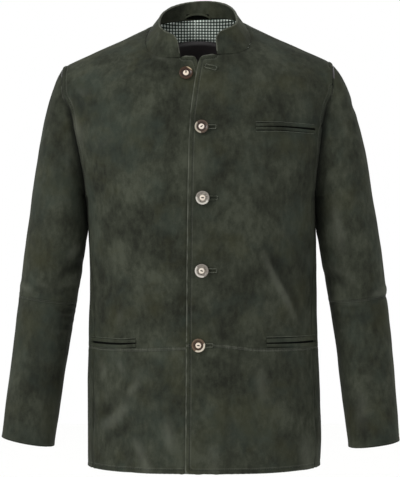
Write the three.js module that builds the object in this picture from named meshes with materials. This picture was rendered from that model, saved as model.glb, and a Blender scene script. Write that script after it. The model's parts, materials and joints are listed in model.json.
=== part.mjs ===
import * as THREE from "three";

// Suede jacket with a standing collar, horn buttons and welt pockets, filled out as if it were worn.
// Millimetres, +Z up, front towards -Y, wearer's left towards +X. The origin lies midway between the
// side-neck points. side is 1 on the wearer's left and -1 on the right, face is -1 in front and 1 behind.

const suedeWall = 1.6;
const collarWall = 2.4;
const liningWall = 1;
const liningGap = 0.4;
const seamGap = 0.3;
const overlayLift = 0.7;
const squareness = 0.87; // 1 gives elliptical sections, less gives squarer ones
const frontColumns = 14;
const linedColumns = 5;
const liningRows = { check: [1, 8], satin: [7, 11] };

const armhole = { top: -62, bottom: -297, middle: 5, reach: 67, fullness: 0.8 };
const armholeAngles = [0, 13, 25, 37, 48, 59, 70, 82, 96, 112, 130, 152, 180];
const shoulderTilt = { left: 4, right: -2.5 };
const neckShift = { x: 2.3, depth: 80 }; // towards the wearer's left at the front of the neck
const neckTilt = 52; // half width over which the neckline takes up the shoulders' tilt
const waist = -553;
const waistRise = { left: 9, right: 3.5, from: 20, to: 120 };
const yoke = { passes: 4, ease: 0.5, columns: 4 };
const underlap = { depth: 2.5, start: 52, full: 20 };

// Half width of the shoulders between the armhole seams, and where its middle lies.
const armholeWidths = [
  { z: -62, half: 234, centre: 0 },
  { z: -95, half: 233.5, centre: 0 },
  { z: -118, half: 231.5, centre: 0.3 },
  { z: -134, half: 223, centre: 0.8 },
  { z: -150, half: 216, centre: 1.3 },
  { z: -180, half: 211.5, centre: 2 },
  { z: -215, half: 206.5, centre: 3 },
  { z: -240, half: 202.5, centre: 3.6 },
  { z: -262, half: 199.8, centre: 4.2 },
  { z: -283, half: 198.8, centre: 4.7 },
  { z: -297, half: 200.5, centre: 5 },
];

// Rows that start on the neckline, from the shoulder seam to the front's corner or the centre back.
const neckRows = {
  front: [
    { x: 86, y: 2, z: 0, turn: 40, straight: 1, drop: 1.12, bulge: 0 },
    { x: 90, y: -18, z: -11, turn: 40, straight: 0.9, drop: 1.1, bulge: 1 },
    { x: 91.5, y: -38, z: -24, turn: 42, straight: 0.75, drop: 1.07, bulge: 2 },
    { x: 88, y: -60, z: -41, turn: 44, straight: 0.6, drop: 1.04, bulge: 3 },
    { x: 74, y: -80, z: -53, turn: 46, straight: 0.45, drop: 1, bulge: 4 },
    { x: 52, y: -89, z: -55.5, turn: 48, straight: 0.3, drop: 1.05, bulge: 4 },
    { x: 31, y: -92, z: -55, turn: 50, straight: 0.15, drop: 1.15, bulge: 3 },
    { x: 9, y: -93, z: -55, turn: 52, straight: 0.05, drop: 1.3, bulge: 2 },
  ],
  back: [
    { x: 86, y: 2, z: 0, turn: 40, straight: 1, drop: 1.12, bulge: 0 },
    { x: 82, y: 26, z: 12, turn: 40, straight: 1, drop: 1.08, bulge: 2 },
    { x: 69, y: 49, z: 21, turn: 42, straight: 0.9, drop: 1.04, bulge: 5 },
    { x: 47, y: 64, z: 26, turn: 44, straight: 0.8, drop: 1.1, bulge: 8 },
    { x: 23, y: 70.5, z: 28, turn: 46, straight: 0.7, drop: 1.25, bulge: 11 },
    { x: 0, y: 72, z: 28, turn: 48, straight: 0.5, drop: 1.5, bulge: 13 },
  ],
};

// Rows that cross the centre front or centre back, down to the armpit.
const chestRows = {
  front: [
    { z: -58, turn: 55, straight: 0, drop: 1.5, bulge: 1 },
    { z: -98, turn: 60, straight: 0, drop: 1.5, bulge: 0 },
    { z: -155, turn: 67, straight: 0, drop: 1.6, bulge: 0 },
    { z: -224, turn: 77, straight: 0, drop: 1.8, bulge: 0 },
    { z: -297, turn: 90, straight: 0, drop: 2, bulge: 0 },
  ],
  back: [
    { z: 12, turn: 52, straight: 0.3, drop: 1.6, bulge: 12 },
    { z: -8, turn: 57, straight: 0.2, drop: 2.1, bulge: 9 },
    { z: -40, turn: 62, straight: 0.1, drop: 1.8, bulge: 5 },
    { z: -80, turn: 66, straight: 0, drop: 1.8, bulge: 2 },
    { z: -132, turn: 72, straight: 0, drop: 1.8, bulge: 0 },
    { z: -208, turn: 80, straight: 0, drop: 1.8, bulge: 0 },
    { z: -297, turn: 90, straight: 0, drop: 2, bulge: 0 },
  ],
};

// How far the chest's sections turn round between the middle and the armhole.
const chestTurns = [
  { z: -60, turn: 48 },
  { z: -120, turn: 55 },
  { z: -190, turn: 65 },
  { z: -255, turn: 80 },
  { z: -297, turn: 90 },
];
const chestStart = { from: 67, to: 108 }; // below the neck, where the rows give way to the sections

// Sections of the body below the armpits. seam is the side seam's turn round from the centre front.
const sections = [
  { z: -340, half: 199.3, centre: 8, seam: 84 },
  { z: -395, half: 198.6, centre: 8.8, seam: 76 },
  { z: -450, half: 198.8, centre: 9.2, seam: 70 },
  { z: -505, half: 199.5, centre: 9.6, seam: 68 },
  { z: waist, half: 200.7, centre: 10.2, seam: 68 },
  { z: -600, half: 202.5, centre: 10.7, seam: 68 },
  { z: -655, half: 203.6, centre: 11.9, seam: 68 },
  { z: -710, half: 205.4, centre: 12.3, seam: 68 },
  { z: -758, half: 203, centre: 11, seam: 68 },
];

// How far the centre front and the centre back stand out, from the neck to the hem.
const depths = {
  front: [
    { z: -55, y: 92 },
    { z: -100, y: 108 },
    { z: -150, y: 122 },
    { z: -220, y: 137 },
    { z: -300, y: 142 },
    { z: -400, y: 135 },
    { z: -548, y: 124 },
    { z: -650, y: 127 },
    { z: -758, y: 132 },
  ],
  back: [
    { z: 28, y: 72 },
    { z: -11, y: 84 },
    { z: -40, y: 94 },
    { z: -80, y: 106 },
    { z: -132, y: 117.5 },
    { z: -200, y: 123.5 },
    { z: -297, y: 116 },
    { z: -395, y: 103 },
    { z: -505, y: 96.5 },
    { z: -600, y: 102 },
    { z: -655, y: 110 },
    { z: -758, y: 118 },
  ],
};

// The front edges: the left front lies on top, and the right one goes on under it.
const frontEdges = [
  { z: -58, left: 2.6, right: -2 },
  { z: -66, left: 0.4, right: 1.5 },
  { z: -84, left: -2.5, right: 5 },
  { z: -110, left: -6, right: 15 },
  { z: -150, left: -12, right: 26 },
  { z: -184, left: -13.8, right: 26 },
  { z: -392, left: -17.3, right: 26 },
  { z: -758, left: -20, right: 26 },
];

// The collar's top edge over each row of the neckline, from its front end round to the centre back.
const collarTop = [
  { x: 32.5, y: -88, z: -26, centre: -1.5 },
  { x: 39.3, y: -85, z: -16, centre: -2 },
  { x: 53, y: -78, z: -10.5, centre: -0.8 },
  { x: 65, y: -60, z: -1, centre: 1.5 },
  { x: 67, y: -36, z: 9, centre: 1.5 },
  { x: 67, y: -14, z: 18, centre: 1 },
  { x: 66, y: 4, z: 26, centre: 1 },
  { x: 62, y: 26, z: 38, centre: 1 },
  { x: 50, y: 45, z: 48.5, centre: 1 },
  { x: 35, y: 57, z: 55, centre: 1 },
  { x: 18, y: 63.5, z: 59, centre: 1 },
  { x: 0, y: 66, z: 60.3, centre: 1 },
];
const collarHeights = [0, 0.35, 0.7, 1];

// Rings of each sleeve from the armhole to the cuff: the outer and inner edge as seen from the front,
// half the depth and where its middle lies. The first is the armhole itself.
const sleeveRings = {
  left: [
    { outX: 234, outZ: -58, inX: 205.5, inZ: -297, reach: 67, y: 5 },
    { outX: 251, outZ: -80.5, inX: 208.5, inZ: -299.5, reach: 66, y: 5 },
    { outX: 267.5, outZ: -117, inX: 209, inZ: -301.5, reach: 67, y: 5 },
    { outX: 281.5, outZ: -164.5, inX: 208.1, inZ: -305, reach: 68, y: 5 },
    { outX: 294, outZ: -217, inX: 208.4, inZ: -310, reach: 69, y: 5 },
    { outX: 303.2, outZ: -274.8, inX: 208.8, inZ: -319, reach: 70, y: 5 },
    { outX: 314.5, outZ: -346.5, inX: 210.8, inZ: -370, reach: 69, y: 4 },
    { outX: 323.8, outZ: -413, inX: 222.8, inZ: -430.5, reach: 66, y: 4 },
    { outX: 330, outZ: -465.5, inX: 231.8, inZ: -476, reach: 63, y: 3 },
    { outX: 336, outZ: -521.5, inX: 239.5, inZ: -535.5, reach: 60, y: -4 },
    { outX: 340.8, outZ: -598.5, inX: 247.8, inZ: -612.5, reach: 56, y: -13 },
    { outX: 345.5, outZ: -658, inX: 254.8, inZ: -673.8, reach: 53, y: -23 },
    { outX: 347, outZ: -712, inX: 260.3, inZ: -724, reach: 50, y: -35 },
  ],
  right: [
    { outX: -234, outZ: -64.5, inX: -195.5, inZ: -297, reach: 67, y: 5 },
    { outX: -247, outZ: -91, inX: -198.5, inZ: -299, reach: 66, y: 5 },
    { outX: -260, outZ: -129.5, inX: -199, inZ: -301, reach: 67, y: 5 },
    { outX: -271, outZ: -178.5, inX: -197.2, inZ: -304, reach: 68, y: 5 },
    { outX: -281, outZ: -236, inX: -196.6, inZ: -309, reach: 69, y: 5 },
    { outX: -289.3, outZ: -294, inX: -195.3, inZ: -322, reach: 70, y: 5 },
    { outX: -296.8, outZ: -353.5, inX: -192.9, inZ: -367.5, reach: 69, y: 4 },
    { outX: -305.5, outZ: -420, inX: -204.4, inZ: -435.8, reach: 66, y: 4 },
    { outX: -310.8, outZ: -465.5, inX: -212.8, inZ: -478.6, reach: 63, y: 3 },
    { outX: -316.5, outZ: -521.5, inX: -220.5, inZ: -535.5, reach: 60, y: -4 },
    { outX: -324.5, outZ: -592, inX: -233, inZ: -605.5, reach: 56, y: -13 },
    { outX: -332.5, outZ: -654.5, inX: -240.2, inZ: -668.5, reach: 53, y: -23 },
    { outX: -336.5, outZ: -705.5, inX: -247.2, inZ: -722, reach: 50, y: -35 },
  ],
};
const upperStations = [0, 0.6, 1.3, 2, 3, 4, 5, 5.8, 6.5, 7.2, 8];
const lowerStations = [8, 8.7, 9.3, 10, 11, 12];
const capBlend = 4.5; // rings over which the armhole's shape passes into the sleeve's own

// Large folds of the fronts and back: a soft ridge along a line, or a trough where height is negative.
const bodyFolds = [
  { face: -1, x1: 118, z1: -360, x2: 150, z2: -433, height: 3, width: 20 },
  { face: -1, x1: 150, z1: -433, x2: 184, z2: -500, height: 3.2, width: 20 },
  { face: -1, x1: 100, z1: -400, x2: 140, z2: -475, height: -2, width: 22 },
  { face: -1, x1: -196, z1: -105, x2: -150, z2: -215, height: -2.5, width: 20 },
  { face: -1, x1: -150, z1: -115, x2: -125, z2: -200, height: 2, width: 22 },
  { face: -1, x1: 192, z1: -120, x2: 160, z2: -150, height: -2, width: 18 },
  { face: -1, x1: -140, z1: -700, x2: -70, z2: -630, height: 2.6, width: 20 },
  { face: -1, x1: -120, z1: -725, x2: -55, z2: -665, height: -2.2, width: 20 },
  { face: -1, x1: -150, z1: -330, x2: -120, z2: -480, height: -2, width: 26 },
  { face: -1, x1: 90, z1: -600, x2: 110, z2: -740, height: 2.2, width: 26 },
  { face: 1, x1: -120, z1: -170, x2: -70, z2: -420, height: -4, width: 30 },
  { face: 1, x1: 130, z1: -170, x2: 90, z2: -430, height: -4, width: 30 },
  { face: 1, x1: -60, z1: -480, x2: 80, z2: -500, height: 3, width: 24 },
  { face: 1, x1: -90, z1: -620, x2: -110, z2: -750, height: 3, width: 28 },
  { face: 1, x1: 100, z1: -610, x2: 125, z2: -750, height: 3, width: 28 },
];

// Large folds of the sleeves: along is a place in the rings, angle runs from the outer edge over the front.
const sleeveFolds = [
  { side: "right", along: 7.6, angle: 130, height: 3, length: 0.5, spread: 60 },
  { side: "right", along: 8.5, angle: 110, height: -2.5, length: 0.5, spread: 60 },
  { side: "right", along: 6.2, angle: 100, height: -2, length: 0.7, spread: 50 },
  { side: "right", along: 10.5, angle: 60, height: 2, length: 0.7, spread: 50 },
  { side: "right", along: 8.2, angle: 235, height: 3, length: 0.5, spread: 60 },
  { side: "left", along: 7.5, angle: 125, height: 3, length: 0.5, spread: 60 },
  { side: "left", along: 8.6, angle: 100, height: -2.5, length: 0.5, spread: 60 },
  { side: "left", along: 5.8, angle: 90, height: -2, length: 0.7, spread: 50 },
  { side: "left", along: 10.2, angle: 70, height: 2, length: 0.7, spread: 50 },
  { side: "left", along: 8.2, angle: 240, height: 3, length: 0.5, spread: 60 },
];

// Welt pockets along their slits, with the height of the lip above and below.
const pockets = {
  chest_welt: [
    { x: 98, z: -177.5, above: 5.4, below: 4.6 },
    { x: 140, z: -176.8, above: 6, below: 5 },
    { x: 200, z: -179.3, above: 6.4, below: 5.4 },
  ],
  hip_welt_right: [
    { x: -103.5, z: -541, above: 5.4, below: 6 },
    { x: -127, z: -543, above: 6.5, below: 6.2 },
    { x: -169, z: -542.4, above: 6, below: 6.2 },
  ],
  hip_welt_left: [
    { x: 116, z: -541, above: 6.5, below: 5 },
    { x: 160, z: -541.3, above: 7.5, below: 6.2 },
    { x: 194, z: -541.3, above: 8.6, below: 8 },
  ],
};
const welt = { step: 8.5, slit: 0.9, high: 1.9, low: 0.9 };

const button = { radius: 11.4, stud: 2.2, studLength: 2.1, segments: 18 };
const buttons = [
  { x: -19.3, z: -83.9, dark: true, open: true },
  { x: 6.9, z: -178.8 },
  { x: 8.6, z: -297.3 },
  { x: 7.2, z: -418.3 },
  { x: 1.7, z: -543.5, dark: true },
];
const buttonhole = { length: 29, width: 10, border: 1.7, slit: 0.6, eye: 3.2, height: 1.2, steps: 26 };
const openHole = { x: 22.2, z: -75.4, tilt: -9, length: 25 };

const hanger = {
  half: 24, width: 3.6, thickness: 1.4, z: 36, arch: 8, stand: 5, inset: 1.5, bend: 1.6, steps: 10,
};

const point = (x, y, z) => new THREE.Vector3(x, y, z);
const mix = THREE.MathUtils.lerp;
const clamp = THREE.MathUtils.clamp;
const radians = THREE.MathUtils.degToRad;
const smoothstep = THREE.MathUtils.smoothstep;
const nameOf = (side) => (side > 0 ? "left" : "right");
const faceName = (face) => (face > 0 ? "back" : "front");
const degrees = THREE.MathUtils.radToDeg;
const squared = (v, power = squareness) => Math.sign(v) * Math.abs(v) ** power;
const keyOf = (p) => [p.x, p.y, p.z].map((v) => v.toFixed(3)).join();

// Reads a column of a table at any place in its key column, on a smooth curve through its rows.
function read(table, column, place, key = "z") {
  const rows = [...table].sort((a, b) => a[key] - b[key]);
  const last = rows.length - 1;
  const above = rows.findIndex((row) => row[key] > place);
  const i = clamp(above < 0 ? last - 1 : above - 1, 0, last - 1);
  const slope = (k) => {
    const a = rows[Math.max(k - 1, 0)];
    const b = rows[Math.min(k + 1, last)];
    return (b[column] - a[column]) / (b[key] - a[key]);
  };
  const span = rows[i + 1][key] - rows[i][key];
  const t = clamp((place - rows[i][key]) / span, 0, 1);
  const straight = mix(rows[i][column], rows[i + 1][column], t);
  const rise = rows[i + 1][column] - rows[i][column];
  const startLean = (slope(i) * span - rise) * t * (1 - t) ** 2;
  const endLean = (slope(i + 1) * span - rise) * t ** 2 * (1 - t);
  return straight + startLean - endLean;
}

// --- the body's surface ---

function tilt(side, z) {
  const share = clamp((z - armhole.bottom) / (armhole.top - armhole.bottom), 0, 1);
  return shoulderTilt[nameOf(side)] * share;
}

function armholePoint(side, angle, face) {
  const z = mix(armhole.top, armhole.bottom, (1 - Math.cos(radians(angle))) / 2);
  const x = side * read(armholeWidths, "half", z) + read(armholeWidths, "centre", z);
  const reach = armhole.reach * Math.abs(Math.sin(radians(angle))) ** armhole.fullness;
  return point(x, armhole.middle + face * reach, z + tilt(side, z));
}

// Where a row starts on the neckline.
function neckPoint(side, row) {
  const shift = neckShift.x * clamp(-row.y / neckShift.depth, 0, 1);
  return point(side * row.x + shift, row.y, row.z + tilt(side, 0) * clamp(row.x / neckTilt, 0, 1));
}

// The middle of the body in front or behind, which drifts to the wearer's left below the shoulders.
function middleAt(face, z) {
  const x = z < armhole.bottom ? read(sections, "centre", z) : read(armholeWidths, "centre", z);
  return point(x, face * read(depths[faceName(face)], "y", z), z);
}

function sectionSeam(side, section) {
  const turn = radians(section.seam);
  const depth = armhole.middle + read(depths.front, "y", section.z);
  const x = section.centre + side * section.half * squared(Math.sin(turn));
  return point(x, armhole.middle - depth * squared(Math.cos(turn)), section.z);
}

// The rows of one half of the body in front or behind, from the shoulder seam to the hem.
function bodyRows(side, face) {
  const neck = neckRows[faceName(face)];
  const upper = [...neck, ...chestRows[faceName(face)]].map((row, k) => ({
    ...row,
    from: k < neck.length ? neckPoint(side, row) : middleAt(face, row.z),
    to: armholePoint(side, armholeAngles[k], face),
    edged: face < 0 && k >= neck.length,
  }));
  const lower = sections.map((section) => ({
    turn: face < 0 ? section.seam : 180 - section.seam,
    straight: 0,
    drop: 2,
    bulge: 0,
    waist: section.z === waist,
    from: middleAt(face, section.z),
    to: sectionSeam(side, section),
    edged: face < 0,
  }));
  return [...upper, ...lower];
}

const roundness = (share, turn) => (1 - squared(Math.cos(share * turn))) / (1 - squared(Math.cos(turn)));
const shareAcross = (across, turn) => Math.asin(squared(across, 1 / squareness) * Math.sin(turn)) / turn;

// A point on a row, from its start at share 0 to its outer seam at share 1.
function rowPoint(row, share, side, face) {
  const turn = radians(row.turn);
  const across = squared(Math.sin(share * turn)) / squared(Math.sin(turn));
  const deep = mix(roundness(share, turn), across, row.straight);
  const bulge = row.bulge * Math.sin(Math.PI * clamp(across, 0, 1));
  const z = mix(row.from.z, row.to.z, Math.abs(across) ** row.drop);
  const p = point(mix(row.from.x, row.to.x, across), mix(row.from.y, row.to.y, deep) + face * bulge, z);
  const chest = smoothstep(-z, chestStart.from, chestStart.to);
  if (z > armhole.bottom && chest > 0) p.y = mix(p.y, chestY(side, face, p), chest);
  return p;
}

// How far the chest or the upper back stands out at a place, by its level section there.
function chestY(side, face, p) {
  const level = clamp((armhole.top - p.z + tilt(side, p.z)) / (armhole.top - armhole.bottom), 0, 1);
  const end = armholePoint(side, degrees(Math.acos(1 - 2 * level)), face);
  const middle = middleAt(face, p.z);
  const across = clamp((p.x - middle.x) / (end.x - middle.x), -1, 1);
  const turn = radians(read(chestTurns, "turn", p.z));
  return mix(middle.y, end.y, roundness(shareAcross(across, turn), turn));
}

// The share of a row at which a front starts at its edge.
function edgeShare(side, row) {
  const across = (read(frontEdges, nameOf(side), row.from.z) - row.from.x) / (row.to.x - row.from.x);
  return shareAcross(across, radians(row.turn));
}

function foldAt(face, x, z) {
  return bodyFolds.filter((fold) => fold.face === face).reduce((sum, fold) => {
    const dx = fold.x2 - fold.x1;
    const dz = fold.z2 - fold.z1;
    const along = ((x - fold.x1) * dx + (z - fold.z1) * dz) / (dx * dx + dz * dz);
    const t = clamp(along, 0, 1);
    const away = Math.hypot(x - fold.x1 - t * dx, z - fold.z1 - t * dz);
    return sum + fold.height * Math.exp(-((away / fold.width) ** 2));
  }, 0);
}

// Raises the folds, which fade out at the first and last two columns and at the first two rows.
function shape(face, p, i, j) {
  const fade = Math.min(1, j / 2, (frontColumns - j) / 2, i / 2);
  const centred = face > 0 ? Math.min(1, (frontColumns - j) / 2, i / 2) : fade;
  p.y += face * foldAt(face, p.x, p.z) * centred;
  return p;
}

// One half of the front or back as a grid of points, rows from the shoulder to the hem.
function bodyGrid(side, face) {
  const rows = bodyRows(side, face);
  const grid = rows.map((row) => {
    const start = row.edged ? edgeShare(side, row) : 0;
    const shares = Array.from({ length: frontColumns + 1 }, (_, j) => mix(start, 1, j / frontColumns));
    return shares.map((share) => rowPoint(row, share, side, face));
  });
  for (let pass = 0; pass < yoke.passes; pass++) easeYoke(grid);
  grid.forEach((points, i) => points.forEach((p, j) => {
    if (face < 0 && side < 0) tuckUnder(p);
    if (face < 0 && rows[i].waist) p.z += riseAt(side, p.x);
    shape(face, p, i, j);
  }));
  return grid;
}

// Evens out the depth of the yoke between its edges, less and less down to the chest.
function easeYoke(grid) {
  const depth = grid.map((points) => points.map((p) => p.y));
  for (let i = 1; i < armholeAngles.length - 1; i++) {
    for (let j = 1; j < frontColumns; j++) {
      const even = (depth[i - 1][j] + depth[i + 1][j] + depth[i][j - 1] + depth[i][j + 1]) / 4;
      const fade = 1 - smoothstep(-grid[i][j].z, chestStart.from, chestStart.to);
      grid[i][j].y = mix(depth[i][j], even, yoke.ease * Math.min(1, j / yoke.columns) * fade);
    }
  }
}

// The right front lies one wall deeper where the left front covers it.
function tuckUnder(p) {
  const edge = read(frontEdges, "left", p.z);
  p.y += underlap.depth * smoothstep(p.x, edge - underlap.start, edge - underlap.full);
}

function riseAt(side, x) {
  return waistRise[nameOf(side)] * (1 - smoothstep(side * x, waistRise.from, waistRise.to));
}

// --- skins and walls ---

// A skin is a sheet of triangles over shared points, counter-clockwise as seen from outside.
function skinOf(...grids) {
  const skin = { points: [], triangles: [] };
  const places = new Map();
  const place = (p) => {
    if (!places.has(keyOf(p))) places.set(keyOf(p), skin.points.push(p.clone()) - 1);
    return places.get(keyOf(p));
  };
  for (const { rows, flip } of grids) {
    for (let i = 0; i + 1 < rows.length; i++) {
      for (let j = 0; j + 1 < rows[i].length; j++) {
        const corners = [rows[i][j], rows[i + 1][j], rows[i + 1][j + 1], rows[i][j + 1]].map(place);
        const [a, b, c, d] = flip ? corners.reverse() : corners;
        skin.triangles.push([a, b, c], [a, c, d]);
      }
    }
  }
  return skin;
}

// Normals at the points of one or more skins, shared where they meet.
function normalsOf(...skins) {
  const normals = new Map();
  for (const { points, triangles } of skins) {
    for (const corners of triangles) {
      const [a, b, c] = corners.map((k) => points[k]);
      const normal = b.clone().sub(a).cross(c.clone().sub(a));
      for (const p of [a, b, c]) {
        const key = keyOf(p);
        normals.set(key, (normals.get(key) || point(0, 0, 0)).add(normal));
      }
    }
  }
  normals.forEach((normal) => normal.normalize());
  return normals;
}

function boundaryOf(skin) {
  const used = new Set();
  const edges = skin.triangles.flatMap(([a, b, c]) => [[a, b], [b, c], [c, a]]);
  edges.forEach(([a, b]) => used.add(a + "_" + b));
  return edges.filter(([a, b]) => !used.has(b + "_" + a));
}

// Draws the points of the boundary in by half a seam's gap.
function drawnIn(skin, boundary, normals) {
  const pulls = new Map();
  for (const [a, b] of boundary) {
    const along = skin.points[b].clone().sub(skin.points[a]).normalize();
    for (const k of [a, b]) {
      const pull = normals.get(keyOf(skin.points[k])).clone().cross(along).normalize();
      pulls.set(k, [...(pulls.get(k) || []), pull]);
    }
  }
  return skin.points.map((p, k) => {
    if (!pulls.has(k)) return p.clone();
    const [first, second] = pulls.get(k);
    const step = first.clone().add(second);
    return p.clone().addScaledVector(step, seamGap / 2 / Math.max(1 + first.dot(second), 0.4));
  });
}

// A closed wall of even thickness inside a skin. depth moves the whole wall further in.
function wallOf(skin, thickness, normals = normalsOf(skin), depth = 0) {
  const boundary = boundaryOf(skin);
  const inward = (p, k, t) => p.clone().addScaledVector(normals.get(keyOf(skin.points[k])), -t);
  const drawn = drawnIn(skin, boundary, normals);
  const outer = drawn.map((p, k) => inward(p, k, depth));
  const inner = drawn.map((p, k) => inward(p, k, depth + thickness));
  const n = outer.length;
  const triangles = skin.triangles.flatMap(([a, b, c]) => [[a, b, c], [a + n, c + n, b + n]]);
  for (const [a, b] of boundary) triangles.push([b, a, a + n], [b, a + n, b + n]);
  return geometryOf([...outer, ...inner], triangles);
}

function geometryOf(points, triangles) {
  const geometry = new THREE.BufferGeometry();
  geometry.setAttribute("position", new THREE.Float32BufferAttribute(points.flatMap((p) => p.toArray()), 3));
  geometry.setIndex(triangles.flat());
  geometry.computeVertexNormals();
  return geometry;
}

// A bar through loops of points that all run the same way round, capped at its ends or closed on itself.
function barOf(loops, closed = false) {
  const size = loops[0].length;
  const triangles = [];
  const spans = closed ? loops.length : loops.length - 1;
  for (let i = 0; i < spans; i++) {
    const next = (i + 1) % loops.length;
    for (let k = 0; k < size; k++) {
      const a = i * size + k;
      const b = i * size + ((k + 1) % size);
      const c = next * size + ((k + 1) % size);
      const d = next * size + k;
      triangles.push([a, b, c], [a, c, d]);
    }
  }
  const end = (loops.length - 1) * size;
  for (let k = 1; !closed && k + 1 < size; k++) triangles.push([0, k + 1, k], [end, end + k, end + k + 1]);
  return geometryOf(loops.flat(), triangles);
}

// --- the sleeves ---

function ringPoint(rings, station, angle) {
  const ring = Object.fromEntries(
    Object.keys(rings[0]).map((column) => [column, read(rings, column, station, "station")]),
  );
  const across = Math.cos(radians(angle));
  const reach = -ring.reach * squared(Math.sin(radians(angle)), 0.9);
  const x = mix(ring.inX, ring.outX, (1 + across) / 2);
  const z = mix(ring.inZ, ring.outZ, (1 + across) / 2);
  return point(x, ring.y + reach, z);
}

function sleevePoint(side, station, angle) {
  const rings = sleeveRings[nameOf(side)].map((ring, i) => ({ ...ring, station: i }));
  const p = ringPoint(rings, station, angle);
  const face = angle > 180 ? 1 : -1;
  const start = armholePoint(side, angle > 180 ? 360 - angle : angle, face);
  const blend = (1 - clamp(station / capBlend, 0, 1)) ** 2;
  p.addScaledVector(start.sub(ringPoint(rings, 0, angle)), blend);
  const centre = ringPoint(rings, station, 0).add(ringPoint(rings, station, 180)).multiplyScalar(0.5);
  const out = p.clone().sub(centre).normalize();
  return p.addScaledVector(out, sleeveFoldAt(side, station, angle));
}

function sleeveFoldAt(side, station, angle) {
  return sleeveFolds.filter((fold) => fold.side === nameOf(side)).reduce((sum, fold) => {
    const round = Math.abs(((angle - fold.angle + 540) % 360) - 180) / fold.spread;
    const along = (station - fold.along) / fold.length;
    return sum + fold.height * Math.exp(-(round ** 2) - along ** 2);
  }, 0);
}

function sleeveGrid(side, stations) {
  const angles = [...armholeAngles, ...armholeAngles.slice(0, -1).reverse().map((a) => 360 - a)];
  return stations.map((station) => angles.map((angle) => sleevePoint(side, station, angle % 360)));
}

function sleeveMeshes(side) {
  const grids = [upperStations, lowerStations].map((stations) => sleeveGrid(side, stations));
  const skins = grids.map((rows) => skinOf({ rows, flip: side < 0 }));
  const normals = normalsOf(...skins);
  const armholeLoop = grids[0][0];
  const centre = armholeLoop[0].clone().add(armholeLoop[armholeAngles.length - 1]).multiplyScalar(0.5);
  for (const p of armholeLoop) {
    const out = p.clone().sub(centre);
    out.x = 0;
    normals.set(keyOf(p), out.normalize());
  }
  return skins.map((skin, i) => {
    const name = "sleeve_" + nameOf(side) + ["_upper", "_lower"][i];
    return meshOf(name, wallOf(skin, suedeWall, normals), suede);
  });
}

// --- what lies on the fronts ---

// Finds the outermost point and the normal of the front skins over a place in x and z.
function frontFinder(skins, normals) {
  const faces = skins.flatMap(({ points, triangles }) => triangles.map((t) => t.map((k) => points[k])));
  return (x, z) => {
    let found = null;
    for (const [a, b, c] of faces) {
      const area = (b.x - a.x) * (c.z - a.z) - (c.x - a.x) * (b.z - a.z);
      const u = ((b.x - x) * (c.z - z) - (c.x - x) * (b.z - z)) / area;
      const v = ((c.x - x) * (a.z - z) - (a.x - x) * (c.z - z)) / area;
      const w = 1 - u - v;
      if (Math.min(u, v, w) < -1e-9) continue;
      const y = u * a.y + v * b.y + w * c.y;
      if (found && y >= found.at.y) continue;
      const normal = [[a, u], [b, v], [c, w]].reduce(
        (sum, [p, share]) => sum.addScaledVector(normals.get(keyOf(p)), share), point(0, 0, 0),
      );
      found = { at: point(x, y, z), normal: normal.normalize() };
    }
    return found;
  };
}

const raised = (spot, height) => spot.at.clone().addScaledVector(spot.normal, height);

// One lip of a welt pocket: rolled high beside the slit and flat at its far edge.
function weltBar(find, pocket, column) {
  const up = column === "above" ? 1 : -1;
  const ends = [pocket[0].x, pocket[pocket.length - 1].x];
  const steps = Math.round(Math.abs(ends[1] - ends[0]) / welt.step);
  const loops = Array.from({ length: steps + 1 }, (_, i) => {
    const x = mix(...ends, i / steps);
    const slit = read(pocket, "z", x, "x") + up * welt.slit;
    const width = read(pocket, column, x, "x");
    const profile = [[0, 0], [0.08, welt.high * 0.8], [0.4, welt.high], [0.85, welt.low], [1, 0]];
    return profile.map(([share, height]) => raised(find(x, slit + up * share * width), overlayLift + height));
  });
  return barOf(up * (ends[1] - ends[0]) > 0 ? loops.reverse() : loops);
}

// A bound buttonhole: a raised frame round a slit, with an eye where a button's shank passes.
function buttonholeFrame(find, hole) {
  const half = { u: (hole.length || buttonhole.length) / 2, v: buttonhole.width / 2 };
  const turn = radians(hole.tilt || 0);
  const spot = (u, v) => {
    const x = hole.x + u * Math.cos(turn) - v * Math.sin(turn);
    return find(x, hole.z + u * Math.sin(turn) + v * Math.cos(turn));
  };
  const innerHalf = half.u - buttonhole.border;
  const gape = (u) => {
    const away = hole.eye === undefined ? Infinity : Math.abs(u - hole.eye);
    return Math.max(buttonhole.slit, Math.sqrt(Math.max(buttonhole.eye ** 2 - away ** 2, 0)));
  };
  const loops = Array.from({ length: buttonhole.steps }, (_, i) => {
    const angle = radians((360 * i) / buttonhole.steps);
    const outer = [half.u * squared(Math.cos(angle), 0.5), half.v * squared(Math.sin(angle), 0.5)];
    const innerU = innerHalf * squared(Math.cos(angle), 0.5);
    const inner = [innerU, Math.sign(Math.round(1e6 * Math.sin(angle))) * gape(innerU)];
    const between = (t) => spot(mix(outer[0], inner[0], t), mix(outer[1], inner[1], t));
    const top = overlayLift + buttonhole.height;
    return [
      raised(between(0), overlayLift),
      raised(between(0.25), top),
      raised(between(0.75), top),
      raised(between(1), overlayLift),
    ];
  });
  return barOf(loops.reverse(), true);
}

// A horn button turned with a raised rim, a dish and a boss, on a short shank.
function buttonGeometry() {
  const r = button.radius;
  const profile = [
    [0, 0], [button.stud, 0], [button.stud, button.studLength], [r * 0.8, button.studLength + 0.2],
    [r, button.studLength + 1.4], [r, button.studLength + 2.6], [r * 0.92, button.studLength + 3.4],
    [r * 0.8, button.studLength + 3.1], [r * 0.66, button.studLength + 2.1],
    [r * 0.43, button.studLength + 2], [r * 0.37, button.studLength + 2.8], [0, button.studLength + 3],
  ];
  return new THREE.LatheGeometry(profile.map(([x, y]) => new THREE.Vector2(x, y)), button.segments);
}

// --- materials ---

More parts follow.
